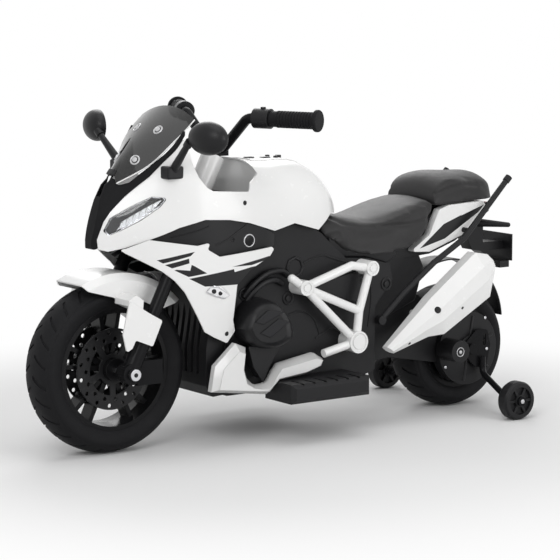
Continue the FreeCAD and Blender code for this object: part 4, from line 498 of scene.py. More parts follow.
def toned(tree, shader, colour, roughness, spread, scale, rough_spread):
    """Links a drifting gloss to a shader, and gives the socket of the drifting colour."""
    tone = shader_node(tree, "ShaderNodeGroup", {
        "Colour": (*colour, 1), "Spread": spread, "Scale": scale,
        "Roughness": roughness, "Rough Spread": rough_spread,
    }, node_tree=tone_group())
    connect(tree, shader, {"Roughness": tone.outputs["Roughness"]})
    return tone.outputs["Colour"]


def mixed_colour(tree, factor, base, other):
    """Socket of a colour that turns from a base socket to another colour."""
    mix = shader_node(tree, "ShaderNodeMix", {
        "Factor": factor, "A": base, "B": (*other, 1),
    }, data_type="RGBA")
    return mix.outputs["Result"]


def moulded(
    name, colour, roughness, grain, grain_scale=900.0, spread=0.06, edge_highlight=0.0, metallic=0.0, shine=0.5,
    coat=0.0, marks=(),
):
    """Material of a moulded or painted piece: drifting tone, mould grain and rounded edges, and, where
    edge_highlight is given, a painted highlight that lightens the colour on the edges.
    """
    found = bpy.data.materials.get(name)
    if found:
        return found
    material, tree, shader = blank_material(name)
    base = toned(tree, shader, colour, roughness, spread, scale=7.0, rough_spread=roughness * 0.35)
    pits = shader_node(tree, "ShaderNodeGroup", {"Scale": grain_scale}, node_tree=grain_group())
    edge = shader_node(tree, "ShaderNodeGroup", {"Radius": sizes().edge_round}, node_tree=edge_group())
    # Painted highlight: the colour turns lighter on the edges, following the soft edge mask
    if edge_highlight:
        highlighted = [min(1.0, c + edge_highlight) for c in colour]
        base = mixed_colour(tree, edge.outputs["Edge"], base, highlighted)
    for points in marks:
        base = mixed_colour(tree, outline_mask(tree, points), base, colours().black)
    bump = shader_node(tree, "ShaderNodeBump", {
        "Strength": grain, "Distance": 0.4 * MM, "Height": pits.outputs["Height"],
        "Normal": edge.outputs["Normal"],
    })
    connect(tree, shader, {
        "Base Color": base, "Normal": bump.outputs["Normal"], "Metallic": metallic,
        "Specular IOR Level": shine, "Coat Weight": coat,
    })
    return material


def dimmed(colour, share):
    """A colour times a share of its light."""
    return [share * c for c in colour]


def gloss_white():
    return moulded("gloss_white", colours().white, roughness=0.26, grain=0.03, spread=0.03, coat=0.25)


def white_pearl():
    pearl = dimmed(colours().white, 0.9)
    return moulded("white_pearl", pearl, roughness=0.24, grain=0.03, spread=0.03, coat=0.35)


def white_marked(name, marks):
    return moulded(name, colours().white, roughness=0.30, grain=0.03, spread=0.03, shine=0.3, marks=marks)


def white_striped():
    return white_marked("white_striped", LOWER_MARKS)


def white_tail():
    return white_marked("white_tail", TAIL_MARKS)


def grey_plastic():
    grey = dimmed(colours().black, 1.8)
    return moulded("grey_plastic", grey, roughness=0.45, grain=0.08, edge_highlight=0.02, shine=0.15)


def silver_paint():
    return moulded("silver_paint", (0.55, 0.55, 0.56), roughness=0.30, grain=0.03, spread=0.03, metallic=0.55)


def black_satin():
    return moulded("black_satin", colours().black, roughness=0.38, grain=0.10, edge_highlight=0.012, shine=0.22)


def black_grained():
    return moulded(
        "black_grained", colours().black, roughness=0.50, grain=0.30, grain_scale=700.0, edge_highlight=0.012,
        shine=0.22,
    )


def black_matt():
    dull = dimmed(colours().black, 0.8)
    return moulded("black_matt", dull, roughness=0.60, grain=0.12, edge_highlight=0.008, shine=0.10)


def gloss_black():
    deep = dimmed(colours().black, 0.7)
    return moulded("gloss_black", deep, roughness=0.24, grain=0.03, edge_highlight=0.008, shine=0.14)


def painted_metal():
    paint = dimmed(colours().black, 0.9)
    return moulded("painted_metal", paint, roughness=0.22, grain=0.05, edge_highlight=0.006, shine=0.08)


def tyre_rubber():
    return moulded(
        "tyre_rubber", colours().rubber, roughness=0.66, grain=0.35, grain_scale=500.0, spread=0.2,
        edge_highlight=0.006, shine=0.14,
    )


def grip_rubber():
    return moulded(
        "grip_rubber", colours().rubber, roughness=0.58, grain=0.30, grain_scale=1100.0, spread=0.1,
        edge_highlight=0.008, shine=0.12,
    )


def bare_steel():
    return moulded(
        "bare_steel", colours().steel, roughness=0.28, grain=0.10, grain_scale=1500.0, metallic=1.0,
    )


def bright_chrome():
    return moulded("bright_chrome", (0.86, 0.86, 0.87), roughness=0.10, grain=0.02, metallic=1.0)


def button_red():
    return moulded("button_red", colours().lamp_red, roughness=0.30, grain=0.05)


def leatherette():
    """Seat cover: pebbled, with a soft sheen."""
    found = bpy.data.materials.get("leatherette")
    if found:
        return found
    material, tree, shader = blank_material("leatherette")
    base = toned(tree, shader, colours().seat, 0.47, spread=0.25, scale=9.0, rough_spread=0.16)
    pebble = shader_node(tree, "ShaderNodeGroup", {"Scale": 620.0}, node_tree=leather_group())
    bump = shader_node(tree, "ShaderNodeBump", {
        "Strength": 0.22, "Distance": 0.5 * MM, "Height": pebble.outputs["Height"],
    })
    connect(tree, shader, {
        "Base Color": base, "Normal": bump.outputs["Normal"], "Specular IOR Level": 0.27,
        "Sheen Weight": 0.08, "Sheen Roughness": 0.5,
    })
    return material


def clear_plastic(name, tint, roughness):
    """See-through plastic, faintly uneven in its gloss."""
    found = bpy.data.materials.get(name)
    if found:
        return found
    material, tree, shader = blank_material(name)
    base = toned(tree, shader, tint, roughness, spread=0.04, scale=6.0, rough_spread=roughness * 0.6)
    connect(tree, shader, {"Base Color": base, "Transmission Weight": 1.0, "IOR": 1.49})
    return material


def smoked_screen():
    return clear_plastic("smoked_screen", colours().smoke, 0.04)


def clear_lens():
    return clear_plastic("clear_lens", (0.94, 0.95, 0.96), 0.05)


def lamp_red_lens():
    return clear_plastic("lamp_red_lens", colours().lamp_red, 0.10)


NODE_FINISHES = {
    gloss_white: (
        "fairing_left", "fairing_right", "trellis_frames", "muffler", "front_fender", "stem_cover",
        "control_panel",
    ),
    white_striped: ("lower_fairings",),
    white_tail: ("tail_covers",),
    black_satin: (
        "side_panels", "cockpit_tray", "tail_frame", "plate_hanger", "mirror_left", "mirror_right",
        "mirror_stalks", "switch_housings", "power_rocker", "direction_rocker", "gearbox_cover", "swing_arm",
        "body_screws", "horn_button", "brake_discs",
    ),
    black_grained: (
        "chassis_left", "chassis_right", "radiator_cover", "footrests", "accelerator_pedal", "grab_rails",
        "training_wheel_left", "training_wheel_right", "control_module", "battery",
    ),
    black_matt: ("nose_trim",),
    gloss_black: ("front_rim", "rear_rim"),
    painted_metal: ("steering_head", "fork", "fork_sliders", "handlebar", "training_arms", "rear_axle"),
    grip_rubber: ("grips",),
    bare_steel: ("front_axle", "drive_motor", "motor_pinion", "idler_gear"),
    bright_chrome: ("headlight_reflectors", "front_indicators"),
    button_red: ("sound_button",),
    smoked_screen: ("windscreen",),
    clear_lens: ("headlight_lenses",),
    lamp_red_lens: ("tail_light",),
}


def paint(node, material):
    """Gives a CAD node's object one material."""
    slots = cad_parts[node].data.materials
    slots.clear()
    slots.append(material)


def mesh_from(bm, name, material):
    """Turns a bmesh into a mesh of one material."""
    mesh = bpy.data.meshes.new(name)
    bm.to_mesh(mesh)
    bm.free()
    mesh.materials.append(material)
    return mesh


def linked(name, data):
    """A new object in the scene."""
    made = bpy.data.objects.new(name, data)
    bpy.context.scene.collection.objects.link(made)
    return made


def close_up(bm):
    """Merges doubled points, and turns the faces outwards."""
    bmesh.ops.remove_doubles(bm, verts=bm.verts, dist=WELD)
    bmesh.ops.recalc_face_normals(bm, faces=bm.faces)


def dressed(bm, name, material, body, replaces=()):
    """Turns a closed bmesh into a finished piece that rides on a body."""
    mesh = mesh_from(bm, name, material)
    mesh.shade_smooth()
    mesh.set_sharp_from_angle(angle=SHARP_ANGLE)
    piece = linked(name, mesh)
    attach(piece, body)
    if replaces:
        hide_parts(*replaces)


def piece_from(bm, name, material, body):
    """Closes a bmesh up, and makes it a piece."""
    close_up(bm)
    dressed(bm, name, material, body)


def pair_from(bm, name, material, body, replaces=()):
    """Adds a bmesh's right-hand twin, and makes both one piece."""
    everything = bm.verts[:] + bm.edges[:] + bm.faces[:]
    bmesh.ops.mirror(bm, geom=everything, matrix=Matrix.Identity(4), merge_dist=0.0, axis="Y")
    close_up(bm)
    dressed(bm, name, material, body, replaces)


def facing(place, normal):
    """Matrix that turns local Z to a normal, at a place in millimetres."""
    turn = Vector(normal).to_track_quat("Z", "Y").to_matrix().to_4x4()
    return Matrix.Translation(Vector(place) * MM) @ turn


def round_edges(bm, edges, width, segments):
    """Rounds edges by a width in millimetres."""
    bmesh.ops.bevel(
        bm, geom=edges, offset=width * MM, offset_type="OFFSET", segments=segments, profile=0.5,
        affect="EDGES", material=-1, clamp_overlap=True,
    )


def round_crest(bm, verts, place, normal, width):
    """Rounds the edges of new geometry that lie in front of a place."""
    crest = set()
    for vert in verts:
        for edge in vert.link_edges:
            if all((end.co - Vector(place) * MM).dot(Vector(normal)) > WELD for end in edge.verts):
                crest.add(edge)
    round_edges(bm, list(crest), width, CREST_SEGMENTS)


def add_disc(bm, place, normal, radius, height, rim=0.6):
    """Round button that stands out of a surface by its height, and sinks in as far."""
    made = bmesh.ops.create_cone(
        bm, cap_ends=True, segments=DISC_SEGMENTS, radius1=radius * MM, radius2=radius * MM,
        depth=2 * height * MM, matrix=facing(place, normal),
    )
    round_crest(bm, made["verts"], place, normal, rim)


def add_ring(bm, place, normal, radius, thickness, steps=RING_STEPS):
    """Round bead that lies on a surface."""
    upright = Matrix.Translation((radius * MM, 0, 0)) @ Matrix.Rotation(math.pi / 2, 4, "X")
    made = bmesh.ops.create_circle(
        bm, cap_ends=False, segments=TUBE_SEGMENTS, radius=thickness * MM,
        matrix=facing(place, normal) @ upright,
    )
    edges = {edge for vert in made["verts"] for edge in vert.link_edges}
    bmesh.ops.spin(
        bm, geom=made["verts"] + list(edges), cent=Vector(place) * MM, axis=Vector(normal).normalized(),
        angle=2 * math.pi, steps=steps, use_merge=True,
    )


def add_plate(bm, place, normal, along, length, width, height, rim=1.0):
    """Rectangular plate that stands out of a surface by its height, and sinks in as far."""
    up = Vector(normal).normalized()
    run = (Vector(along) - up * up.dot(Vector(along))).normalized()
    turn = Matrix((run, up.cross(run), up)).transposed().to_4x4()
    size = Matrix.Diagonal((length * MM, width * MM, 2 * height * MM, 1))
    made = bmesh.ops.create_cube(bm, size=1.0, matrix=Matrix.Translation(Vector(place) * MM) @ turn @ size)
    round_crest(bm, made["verts"], place, up, rim)


def add_slab(bm, rows, rim):
    """Solid from rows of corners in millimetres, back row first, with a rounded front edge."""
    loops = [[bm.verts.new(Vector(p) * MM) for p in row] for row in rows]
    bm.faces.new(loops[0])
    face = bm.faces.new(loops[-1])
    sides = []
    for loop in loops:
        ends = zip(loop, loop[1:] + loop[:1])
        sides.append([bm.edges.get(pair) or bm.edges.new(pair) for pair in ends])
    for a, b in zip(sides, sides[1:]):
        bmesh.ops.bridge_loops(bm, edges=a + b)
    round_edges(bm, list(face.edges), rim, SLAB_SEGMENTS)


def smooth_line(points, steps=LINE_STEPS):
    """Places on a smooth line through a few points."""
    spots = [Vector(p) for p in points]
    line = []
    for i in range(len(spots) - 1):
        a, b, c, d = spots[max(i - 1, 0)], spots[i], spots[i + 1], spots[min(i + 2, len(spots) - 1)]
        line += interpolate_bezier(b, b + (c - a) / 6, c - (d - b) / 6, c, steps + 1)[:-1]
    return line + [spots[-1]]


def add_tube(bm, line, radius, closed=False):
    """Round tube along a line of places in millimetres, open ended or joined into a loop."""
    last = len(line) - 1
    rings = []
    for i, spot in enumerate(line):
        if closed:
            ahead = Vector(line[(i + 1) % len(line)]) - Vector(line[i - 1])
        else:
            ahead = Vector(line[min(i + 1, last)]) - Vector(line[max(i - 1, 0)])
        made = bmesh.ops.create_circle(
            bm, cap_ends=not closed and i in (0, last), segments=TUBE_SEGMENTS, radius=radius * MM,
            matrix=facing(spot, ahead),
        )
        rings.append(list({edge for vert in made["verts"] for edge in vert.link_edges}))
    following = rings[1:] + rings[:1] if closed else rings[1:]
    for a, b in zip(rings, following):
        bmesh.ops.bridge_loops(bm, edges=a + b)


def on_side(points, y):
    """Places on an upright plane from distances forward and heights."""
    return [(x, y, z) for x, z in points]


def on_surface(node, points):
    """Places where a CAD node's left side is met at distances forward and heights."""
    made = []
    for x, z in points:
        hit, place, _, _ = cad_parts[node].ray_cast((x * MM, 1.0, z * MM), (0, -1, 0))
        if not hit:
            raise RuntimeError(f"{node} has no surface at {x:.0f}, {z:.0f}")
        made.append(place / MM)
    return made


def lamp_spot(x, z, depth):
    """Place behind a headlight's face, at a depth from it."""
    (x0, y0), (x1, y1) = LAMP_FACE
    inward = Vector((y0 - y1, x1 - x0, 0)).normalized()
    return Vector((x, y0 + (y1 - y0) * (x - x0) / (x1 - x0), z)) + inward * depth


def cut_grooves(bm, centre, inner_y, outer_y, low_r, steps):
    """Sinks the tread's grooves, which lie at other steps of the turn on either side."""
    cuts = []
    for face in bm.faces:
        spot = face.calc_center_median() - centre
        if not inner_y < abs(spot.y) < outer_y or math.hypot(spot.x, spot.z) < low_r:
            continue
        step = int(math.atan2(spot.z, spot.x) / (2 * math.pi) * steps) % GROOVE_STEPS
        if step in (LEFT_CUTS if spot.y > 0 else RIGHT_CUTS):
            cuts.append(face)
    bmesh.ops.inset_region(
        bm, faces=cuts, thickness=GROOVE_WALL, depth=-sizes().tread_depth, use_boundary=True,
        use_even_offset=True,
    )


def tyre(name, node, body, bead_share, grooves):
    """Tyre with a ringed side wall and slanted grooves, turned about its axle."""
    low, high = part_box(node)
    centre = (low + high) / 2
    radius = (high.z - low.z) / 2
    half = (high.y - low.y) / 2
    bead = radius * bead_share
    bm = bmesh.new()
    outer = [(half * share, bead + (radius - bead) * rise) for share, rise in TYRE_PROFILE]
    ring = outer + [(-y, r) for y, r in outer[-2:0:-1]]
    verts = [bm.verts.new((centre.x, centre.y + y, centre.z + r)) for y, r in ring]
    edges = [bm.edges.new((a, b)) for a, b in zip(verts, verts[1:] + verts[:1])]
    steps = grooves * GROOVE_STEPS
    bmesh.ops.spin(
        bm, geom=verts + edges, cent=centre, axis=LEFT, angle=2 * math.pi, steps=steps, use_merge=True,
    )
    close_up(bm)
    inner_y = half * TYRE_PROFILE[TREAD_START][0]
    outer_y = half * TYRE_PROFILE[TREAD_END][0]
    low_r = bead + (radius - bead) * (TYRE_PROFILE[TREAD_END][1] - TREAD_MARGIN)
    cut_grooves(bm, centre, inner_y, outer_y, low_r, steps)
    for vert in bm.verts:
        lean = sizes().tread_lean * min(1.0, abs(vert.co.y - centre.y) / outer_y)
        turn = Matrix.Rotation(lean, 4, "Y")
        vert.co = centre + turn @ (vert.co - centre)
    dressed(bm, name, tyre_rubber(), body, (node,))


def merged_copy(node, name, material):
    """A new object with a CAD node's mesh, its loose triangles joined up."""
    bm = bmesh.new()
    bm.from_mesh(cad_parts[node].data)
    bmesh.ops.remove_doubles(bm, verts=bm.verts, dist=CAD_WELD)
    return linked(name, mesh_from(bm, name, material))


def bake_modifiers(obj):
    """Replaces an object's mesh by what its modifiers make of it."""
    bpy.context.view_layer.update()
    evaluated = obj.evaluated_get(bpy.context.evaluated_depsgraph_get())
    mesh = bpy.data.meshes.new_from_object(evaluated)
    obj.modifiers.clear()
    obj.data = mesh


def swell(obj, held_z):
    """Lets a pad bulge like foam in its cover, held where it is seated, within the largest move."""
    start = [v.co.copy() for v in obj.data.vertices]
    seated = obj.vertex_groups.new(name="seated")
    seated.add([v.index for v in obj.data.vertices if v.co.z < held_z], 1.0, "REPLACE")
    cover = obj.modifiers.new("cover", "CLOTH")
    cover.settings.quality = CLOTH_QUALITY
    cover.settings.use_pressure = True
    cover.settings.uniform_pressure_force = SWELL_PRESSURE
    cover.settings.effector_weights.gravity = 0.0
    cover.settings.vertex_group_mass = "seated"
    cover.point_cache.frame_end = SWELL_FRAMES
    scene = bpy.context.scene
    for step in range(1, SWELL_FRAMES + 1):
        scene.frame_set(step)
    bake_modifiers(obj)
    scene.frame_set(1)
    limit = sizes().pad_swell
    for vert, rest in zip(obj.data.vertices, start):
        move = vert.co - rest
        if move.length > limit:
            vert.co = rest + move.normalized() * limit


def press_crease(bm, line):
    """Presses a seam into both sides of a pad, along a line of distances forward and heights."""
    runs = list(zip(line, line[1:]))
    for vert in bm.verts:
        if abs(vert.normal.y) < CREASE_SIDEWAYS:
            continue
        spot = Vector((vert.co.x, vert.co.z)) / MM
        off = math.inf
        for a, b in runs:
            _, share = intersect_point_line(spot, a, b)
            end = Vector(a).lerp(Vector(b), min(max(share, 0.0), 1.0))
            off = min(off, (spot - end).length)
        if off < CREASE_HALF_W:
            vert.co -= vert.normal * CREASE_DEPTH * MM * (1 - (off / CREASE_HALF_W) ** 2) ** 2


def pad(node, name, crease):
    """Padded piece from a CAD cushion: meshed evenly, swollen, smoothed and creased along its sides."""
    obj = merged_copy(node, name, leatherette())
    low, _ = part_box(node)
    even = obj.modifiers.new("even", "REMESH")
    even.mode = "VOXEL"
    even.voxel_size = sizes().pad_voxel
    bake_modifiers(obj)
    swell(obj, low.z + HELD_VOXELS * sizes().pad_voxel)
    bm = bmesh.new()
    bm.from_mesh(obj.data)
    for _ in range(SMOOTH_ROUNDS):
        bmesh.ops.smooth_vert(
            bm, verts=bm.verts, factor=SMOOTH_SHARE, use_axis_x=True, use_axis_y=True, use_axis_z=True,
        )
    bmesh.ops.subdivide_edges(bm, edges=bm.edges, cuts=1, use_grid_fill=True, smooth=0.0)
    bm.normal_update()
    press_crease(bm, crease)
    bm.to_mesh(obj.data)
    bm.free()
    obj.data.shade_smooth()
    finer = obj.modifiers.new("finer", "SUBSURF")
    finer.levels = finer.render_levels = 1
    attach(obj, "frame")
    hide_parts(node)


class BIKE_OT_finishes(bpy.types.Operator):
    """Paint every piece that keeps its CAD shape"""

    bl_idname = "bike.finishes"
    bl_label = "Finishes"

    def execute(self, context):
        for finish, nodes in NODE_FINISHES.items():
            for node in nodes:
                paint(node, finish())
        return {"FINISHED"}


class BIKE_OT_tyres(bpy.types.Operator):
    """Mould both tyres with their side rings and grooves"""

    bl_idname = "bike.tyres"
    bl_label = "Tyres"

    def execute(self, context):
        tyre("front_tyre_moulded", "front_tyre", "front_wheel", FRONT_BEAD_SHARE, sizes().front_grooves)
        tyre("rear_tyre_moulded", "rear_tyre", "rear_wheel", REAR_BEAD_SHARE, sizes().rear_grooves)
        return {"FINISHED"}


class BIKE_OT_padding(bpy.types.Operator):
    """Stuff the rider's seat and the pillion pad"""

    bl_idname = "bike.padding"
    bl_label = "Seat and pad"

    def execute(self, context):
        pad("rider_seat", "seat_cover", SEAT_CREASE)
        pad("pillion_pad", "pillion_cover", PAD_CREASE)
        return {"FINISHED"}


class BIKE_OT_screen_fittings(bpy.types.Operator):
    """Add the windscreen's fasteners, a white line along its edge as a painted highlight, and its foot clip
    """

    bl_idname = "bike.screen_fittings"
    bl_label = "Screen fittings"

    def execute(self, context):
        caps = bmesh.new()
        for place, normal in SCREEN_FASTENERS:
            add_ring(caps, place, normal, **FASTENER_RING)
            add_disc(caps, place, normal, **FASTENER_CAP)
        pair_from(caps, "screen_fasteners", silver_paint(), "frame")
        # Painted highlight: a white tube along the screen's edge stands in for the light on it
        bead = bmesh.new()
        add_tube(bead, smooth_line(SCREEN_EDGE, SCREEN_EDGE_STEPS), SCREEN_GLINT_R)
        pair_from(bead, "screen_edge_glint", gloss_white(), "frame")
        clip = bmesh.new()
        add_plate(clip, *SCREEN_CLIP, LEFT, **SCREEN_CLIP_SIZE)
        piece_from(clip, "screen_clip", black_satin(), "frame")
        return {"FINISHED"}


class BIKE_OT_headlights(bpy.types.Operator):
    """Fill the headlights with their brows and flutes"""

    bl_idname = "bike.headlights"
    bl_label = "Headlights"

    def execute(self, context):
        brows = bmesh.new()
        for outline in (LAMP_BROW, LAMP_BLOCK):
            rows = [[lamp_spot(x, z, depth) for x, z in outline] for depth in LAMP_BROW_DEPTHS]
            add_slab(brows, rows, LAMP_BROW_RIM)
        pair_from(brows, "lamp_brows", grey_plastic(), "frame")
        flutes = bmesh.new()
        deep, shallow = LAMP_FLUTE_DEPTHS
        for x, low, high in LAMP_FLUTES:
            ends = [lamp_spot(x, low, deep), lamp_spot(x - LAMP_FLUTE_LEAN, high, shallow)]
            add_tube(flutes, ends, LAMP_FLUTE_R)
        pair_from(flutes, "lamp_flutes", bright_chrome(), "frame")
        return {"FINISHED"}


class BIKE_OT_indicators(bpy.types.Operator):
    """Rim the front indicators, and add their bulbs"""

    bl_idname = "bike.indicators"
    bl_label = "Indicators"

    def execute(self, context):
        rims = bmesh.new()
        add_tube(rims, on_side(INDICATOR_RIM, INDICATOR_Y), INDICATOR_RIM_R, closed=True)
        pair_from(rims, "indicator_rims", silver_paint(), "frame")
        bulbs = bmesh.new()
        for x, z in INDICATOR_BULBS:
            add_disc(bulbs, (x, INDICATOR_Y, z), LEFT, **INDICATOR_BULB)
        pair_from(bulbs, "indicator_bulbs", grey_plastic(), "frame")
        return {"FINISHED"}


class BIKE_OT_engine_covers(bpy.types.Operator):
    """Shape the engine covers, and add their blades"""

    bl_idname = "bike.engine_covers"
    bl_label = "Engine covers"

    def execute(self, context):
        rounded = smooth_line(ENGINE_OUTLINE + ENGINE_OUTLINE[:1], ENGINE_STEPS)[:-1]
        middle = middle_of(ENGINE_OUTLINE)
        covers = bmesh.new()
        rows = []
        for y, share, ahead in ENGINE_LAYERS:
            spots = [middle + Vector((ahead, 0)) + (spot - middle) * share for spot in rounded]
            rows.append(on_side(spots, y))
        add_slab(covers, rows, ENGINE_RIM)
        pair_from(covers, "engine_covers_shaped", black_satin(), "frame", ("engine_covers",))
        blades = bmesh.new()
        for outline in ENGINE_BLADES:
            add_slab(blades, [on_side(outline, y) for y in ENGINE_BLADE_Y], ENGINE_BLADE_RIM)
        pair_from(blades, "engine_blades", grey_plastic(), "frame")
        return {"FINISHED"}


class BIKE_OT_chassis_relief(bpy.types.Operator):
    """Add the bosses, plates, ridges, pipes and seams of the chassis sides"""

    bl_idname = "bike.chassis_relief"
    bl_label = "Chassis relief"

    def execute(self, context):
        relief = bmesh.new()
        for x, z, radius in CHASSIS_BOSSES:
            add_ring(relief, (x, CHASSIS_Y, z), LEFT, radius, BOSS_RING_T)
            add_disc(relief, (x, CHASSIS_Y, z), LEFT, radius * BOSS_CAP_SHARE, BOSS_CAP_HEIGHT)
        x, z, radius = CHASSIS_OCTAGON
        add_ring(relief, (x, CHASSIS_Y, z), LEFT, radius, OCTAGON_T, steps=OCTAGON_SIDES)
        for outline, reach, rim in (
            (CHASSIS_PLATE, CHASSIS_PLATE_Y, CHASSIS_PLATE_RIM), (ENGINE_FIN, ENGINE_FIN_Y, PLATE_RIM),
            (SEAT_SKIRT, SEAT_SKIRT_Y, PLATE_RIM), (REAR_SCREEN, REAR_SCREEN_Y, PLATE_RIM),
        ):
            add_slab(relief, [on_side(outline, y) for y in reach], rim)
        for ridge in SIDE_RIDGES:
            add_tube(relief, on_surface("side_panels", smooth_line(ridge)), RIDGE_R)
        for pipe in CHASSIS_PIPES:
            add_tube(relief, smooth_line(pipe), PIPE_R)
        for seam in CHASSIS_SEAMS:
            add_tube(relief, smooth_line(on_side(seam, CHASSIS_Y)), SEAM_R)
        pair_from(relief, "chassis_relief", black_satin(), "frame")
        return {"FINISHED"}


class BIKE_OT_belly_pans(bpy.types.Operator):
    """Shape the belly pans with their ridges and rounded edges"""

    bl_idname = "bike.belly_pans"
    bl_label = "Belly pans"

    def execute(self, context):
        bm = bmesh.new()
        outlines = (PAN_OUTLINE, PAN_OUTLINE, PAN_CREST)
        add_slab(bm, [on_side(outline, y) for outline, y in zip(outlines, PAN_Y)], PAN_RIM)
        pair_from(bm, "belly_pans_shaped", white_pearl(), "frame", ("belly_pans",))
        return {"FINISHED"}


class BIKE_OT_rear_fittings(bpy.types.Operator):
    """Add black discs at the silencer's holes as painted shade, the gearbox bolts and the training wheels'
    caps
    """

    bl_idname = "bike.rear_fittings"
    bl_label = "Rear fittings"

    def execute(self, context):
        # Painted shade: black discs stand in for the silencer's open holes
        hole_shades = bmesh.new()
        for place, normal, radius in SILENCER_HOLE_SHADES:
            add_disc(hole_shades, place, normal, radius, HOLE_SHADE_HEIGHT)
        piece_from(hole_shades, "silencer_hole_shades", black_satin(), "frame")
        bolts = bmesh.new()
        for place in REAR_BOLTS:
            add_disc(bolts, place, LEFT, **REAR_BOLT)
        piece_from(bolts, "gearbox_bolts", bare_steel(), "frame")
        pot = bmesh.new()
        add_disc(pot, POT_END, LEFT, **POT_SCREW)
        add_ring(pot, POT_END, LEFT, **POT_RING)
        piece_from(pot, "motor_pot_trim", silver_paint(), "frame")
        caps = bmesh.new()
        low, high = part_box("training_wheel_left")
        hub = (low + high) / 2 / MM
        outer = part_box("training_arms")[1].y / MM
        add_disc(caps, (hub.x, outer, hub.z), LEFT, **TRAINING_CAP)
        pair_from(caps, "training_axle_caps", silver_paint(), "frame")
        return {"FINISHED"}


class BIKE_OT_front_fittings(bpy.types.Operator):
    """Add black discs in the front axle's nuts, painted shade of their sockets"""

    bl_idname = "bike.front_fittings"
    bl_label = "Front fittings"

    def execute(self, context):
        low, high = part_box("front_axle")
        middle = (low + high) / 2 / MM
        # Painted shade: a black disc stands in for each nut's socket
        socket_shades = bmesh.new()
        add_disc(socket_shades, (middle.x, high.y / MM, middle.z), LEFT, **AXLE_SOCKET_SHADE)
        pair_from(socket_shades, "front_axle_socket_shades", black_satin(), "steering")
        return {"FINISHED"}


class BIKE_OT_badges(bpy.types.Operator):
    """Add a plain rimmed disc to each side panel"""

    bl_idname = "bike.badges"
    bl_label = "Side discs"

    def execute(self, context):
        rims = bmesh.new()
        add_ring(rims, BADGE, LEFT, **BADGE_RIM)
        pair_from(rims, "badge_rims", silver_paint(), "frame")
        discs = bmesh.new()
        add_disc(discs, BADGE, LEFT, **BADGE_DISC)
        pair_from(discs, "badge_discs", gloss_black(), "frame")
        return {"FINISHED"}


class BIKE_OT_panel_knobs(bpy.types.Operator):
    """Add the control panel's knobs"""

    bl_idname = "bike.panel_knobs"
    bl_label = "Panel knobs"

    def execute(self, context):
        _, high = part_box("control_panel")
        knobs = bmesh.new()
        for x, y, radius in PANEL_KNOBS:
            add_disc(knobs, (x, y, high.z / MM - KNOB_SINK), UP, radius, KNOB_HEIGHT, rim=KNOB_RIM)
        piece_from(knobs, "panel_knobs", black_satin(), "frame")
        return {"FINISHED"}


class BIKE_OT_mirror_glass(bpy.types.Operator):
    """Add the mirrors' glass"""

    bl_idname = "bike.mirror_glass"
    bl_label = "Mirror glass"

    def execute(self, context):
        for side, sign in (("left", 1), ("right", -1)):
            x, y, z = MIRROR_HEAD
            at_head = Matrix.Translation(Vector((x, sign * y, z)) * MM)
            swept = Matrix.Rotation(sign * MIRROR_SWEEP, 4, "Z")
            flat = Matrix.Translation((-MIRROR_GLASS_BACK * MM, 0, 0)) @ Matrix.Rotation(math.pi / 2, 4, "Y")
            width, height = MIRROR_OVAL
            oval = Matrix.Diagonal((height * MM, width * MM, MIRROR_GLASS_T / 2 * MM, 1))
            glass = bmesh.new()
            bmesh.ops.create_cone(
                glass, cap_ends=True, segments=GLASS_SEGMENTS, radius1=1, radius2=1, depth=2,
                matrix=at_head @ swept @ flat @ oval,
            )
            piece_from(glass, "mirror_glass_" + side, bright_chrome(), "mirror_" + side[0])
        return {"FINISHED"}


def in_sight(tree):
    """Socket that is 1 for what the camera sees straight, in gloss or through glass."""
    path = shader_node(tree, "ShaderNodeLightPath")
    seen = path.outputs["Is Camera Ray"]
    for ray in ("Is Glossy Ray", "Is Transmission Ray"):
        seen = math_node(tree, "MAXIMUM", seen, path.outputs[ray])
    return seen


def floor_white():
    """Pale floor that keeps the shadow and turns to plain white away from the bike."""
    material, tree, shader = blank_material("floor_white")
    tree.nodes.remove(shader)
    matt = shader_node(tree, "ShaderNodeBsdfDiffuse", {"Color": FLOOR_PALE})
    plain = shader_node(tree, "ShaderNodeEmission", {"Color": PLAIN_WHITE, "Strength": 1.0})
    place = shader_node(tree, "ShaderNodeTexCoord")
    reach = shader_node(tree, "ShaderNodeVectorMath", {0: place.outputs["Object"]}, operation="LENGTH")
    away = shader_node(tree, "ShaderNodeMapRange", {
        "Value": reach.outputs["Value"], "From Min": FLOOR_SHADOW[0], "From Max": FLOOR_SHADOW[1],
    }, interpolation_type="SMOOTHSTEP")
    share = math_node(tree, "MULTIPLY", away.outputs["Result"], in_sight(tree))
    both = shader_node(tree, "ShaderNodeMixShader", {0: share, 1: matt.outputs[0], 2: plain.outputs[0]})
    connect(tree, tree.nodes["Material Output"], {"Surface": both.outputs[0]})
    return material


def lay_floor():
    """Square floor under the bike."""
    bm = bmesh.new()
    bmesh.ops.create_grid(bm, x_segments=1, y_segments=1, size=FLOOR_SIZE / 2)
    linked("floor", mesh_from(bm, "floor", floor_white()))


def light_sky():
    """World that looks plain white, and lights the bike at a lower level."""
    world = bpy.data.worlds.new("studio")
    bpy.context.scene.world = world
    world.use_nodes = True
    tree = world.node_tree
    level = shader_node(tree, "ShaderNodeMapRange", {
        "Value": in_sight(tree), "To Min": SKY_LEVEL, "To Max": 1.0,
    })
    connect(tree, tree.nodes["Background"], {"Color": PLAIN_WHITE, "Strength": level.outputs["Result"]})


def aimed(name, data, place, direction):
    """A lamp or camera at a place, which looks in a direction."""
    made = linked(name, data)
    made.location = place
    made.rotation_mode = "QUATERNION"
    made.rotation_quaternion = Vector(direction).to_track_quat("-Z", "Y")
    return made


def area_light(name, place, size, power):
    """Soft square lamp that faces the bike."""
    data = bpy.data.lights.new(name, "AREA")
    data.size = size
    data.energy = power
    aimed(name, data, place, Vector(LAMP_AIM) - Vector(place))


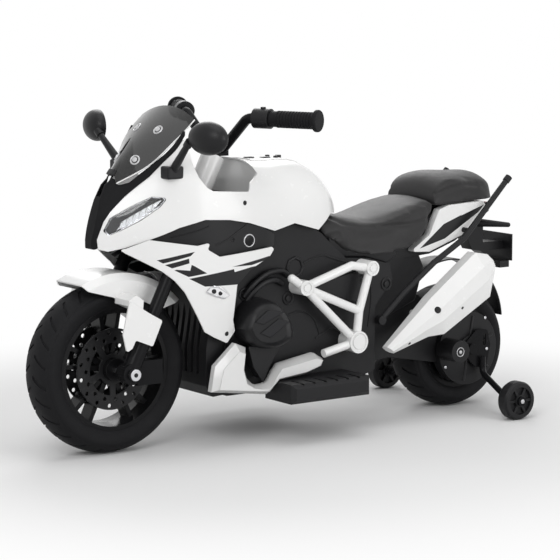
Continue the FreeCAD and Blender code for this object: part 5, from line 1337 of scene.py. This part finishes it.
def place_camera():
    """Camera at the angle of the picture."""
    data = bpy.data.cameras.new("camera")
    data.lens = CAMERA_LENS_MM
    data.sensor_width = SENSOR_WIDTH_MM
    bpy.context.scene.camera = aimed("camera", data, CAMERA_PLACE, CAMERA_AIM)


class BIKE_OT_stage(bpy.types.Operator):
    """Set the floor, the light and the camera"""

    bl_idname = "bike.stage"
    bl_label = "Stage"

    def execute(self, context):
        lay_floor()
        light_sky()
        for lamp in LAMPS:
            area_light(*lamp)
        place_camera()
        context.scene.view_settings.view_transform = "Standard"
        return {"FINISHED"}


STEPS = (
    BIKE_OT_finishes, BIKE_OT_tyres, BIKE_OT_padding, BIKE_OT_screen_fittings, BIKE_OT_headlights,
    BIKE_OT_indicators, BIKE_OT_engine_covers, BIKE_OT_chassis_relief, BIKE_OT_belly_pans,
    BIKE_OT_front_fittings, BIKE_OT_rear_fittings, BIKE_OT_badges, BIKE_OT_panel_knobs,
    BIKE_OT_mirror_glass, BIKE_OT_stage,
)


class BIKE_PT_panel(bpy.types.Panel):
    """Lists the motorbike's steps, colours and sizes"""

    bl_label = "Child's motorbike"
    bl_idname = "BIKE_PT_panel"
    bl_space_type = "VIEW_3D"
    bl_region_type = "UI"
    bl_category = "Motorbike"

    def draw(self, context):
        for step in STEPS:
            self.layout.operator(step.bl_idname)
        for group in (context.scene.bike_colours, context.scene.bike_sizes):
            for name in group.__annotations__:
                self.layout.prop(group, name)


CLASSES = (BikeColours, BikeSizes, *STEPS, BIKE_PT_panel)


def register():
    for cls in CLASSES:
        bpy.utils.register_class(cls)
    bpy.types.Scene.bike_colours = PointerProperty(type=BikeColours)
    bpy.types.Scene.bike_sizes = PointerProperty(type=BikeSizes)


def unregister():
    del bpy.types.Scene.bike_sizes
    del bpy.types.Scene.bike_colours
    for cls in reversed(CLASSES):
        bpy.utils.unregister_class(cls)


def main():
    register()
    for step in STEPS:
        area, name = step.bl_idname.split(".")
        getattr(getattr(bpy.ops, area), name)()


if __name__ == "__main__":
    main()
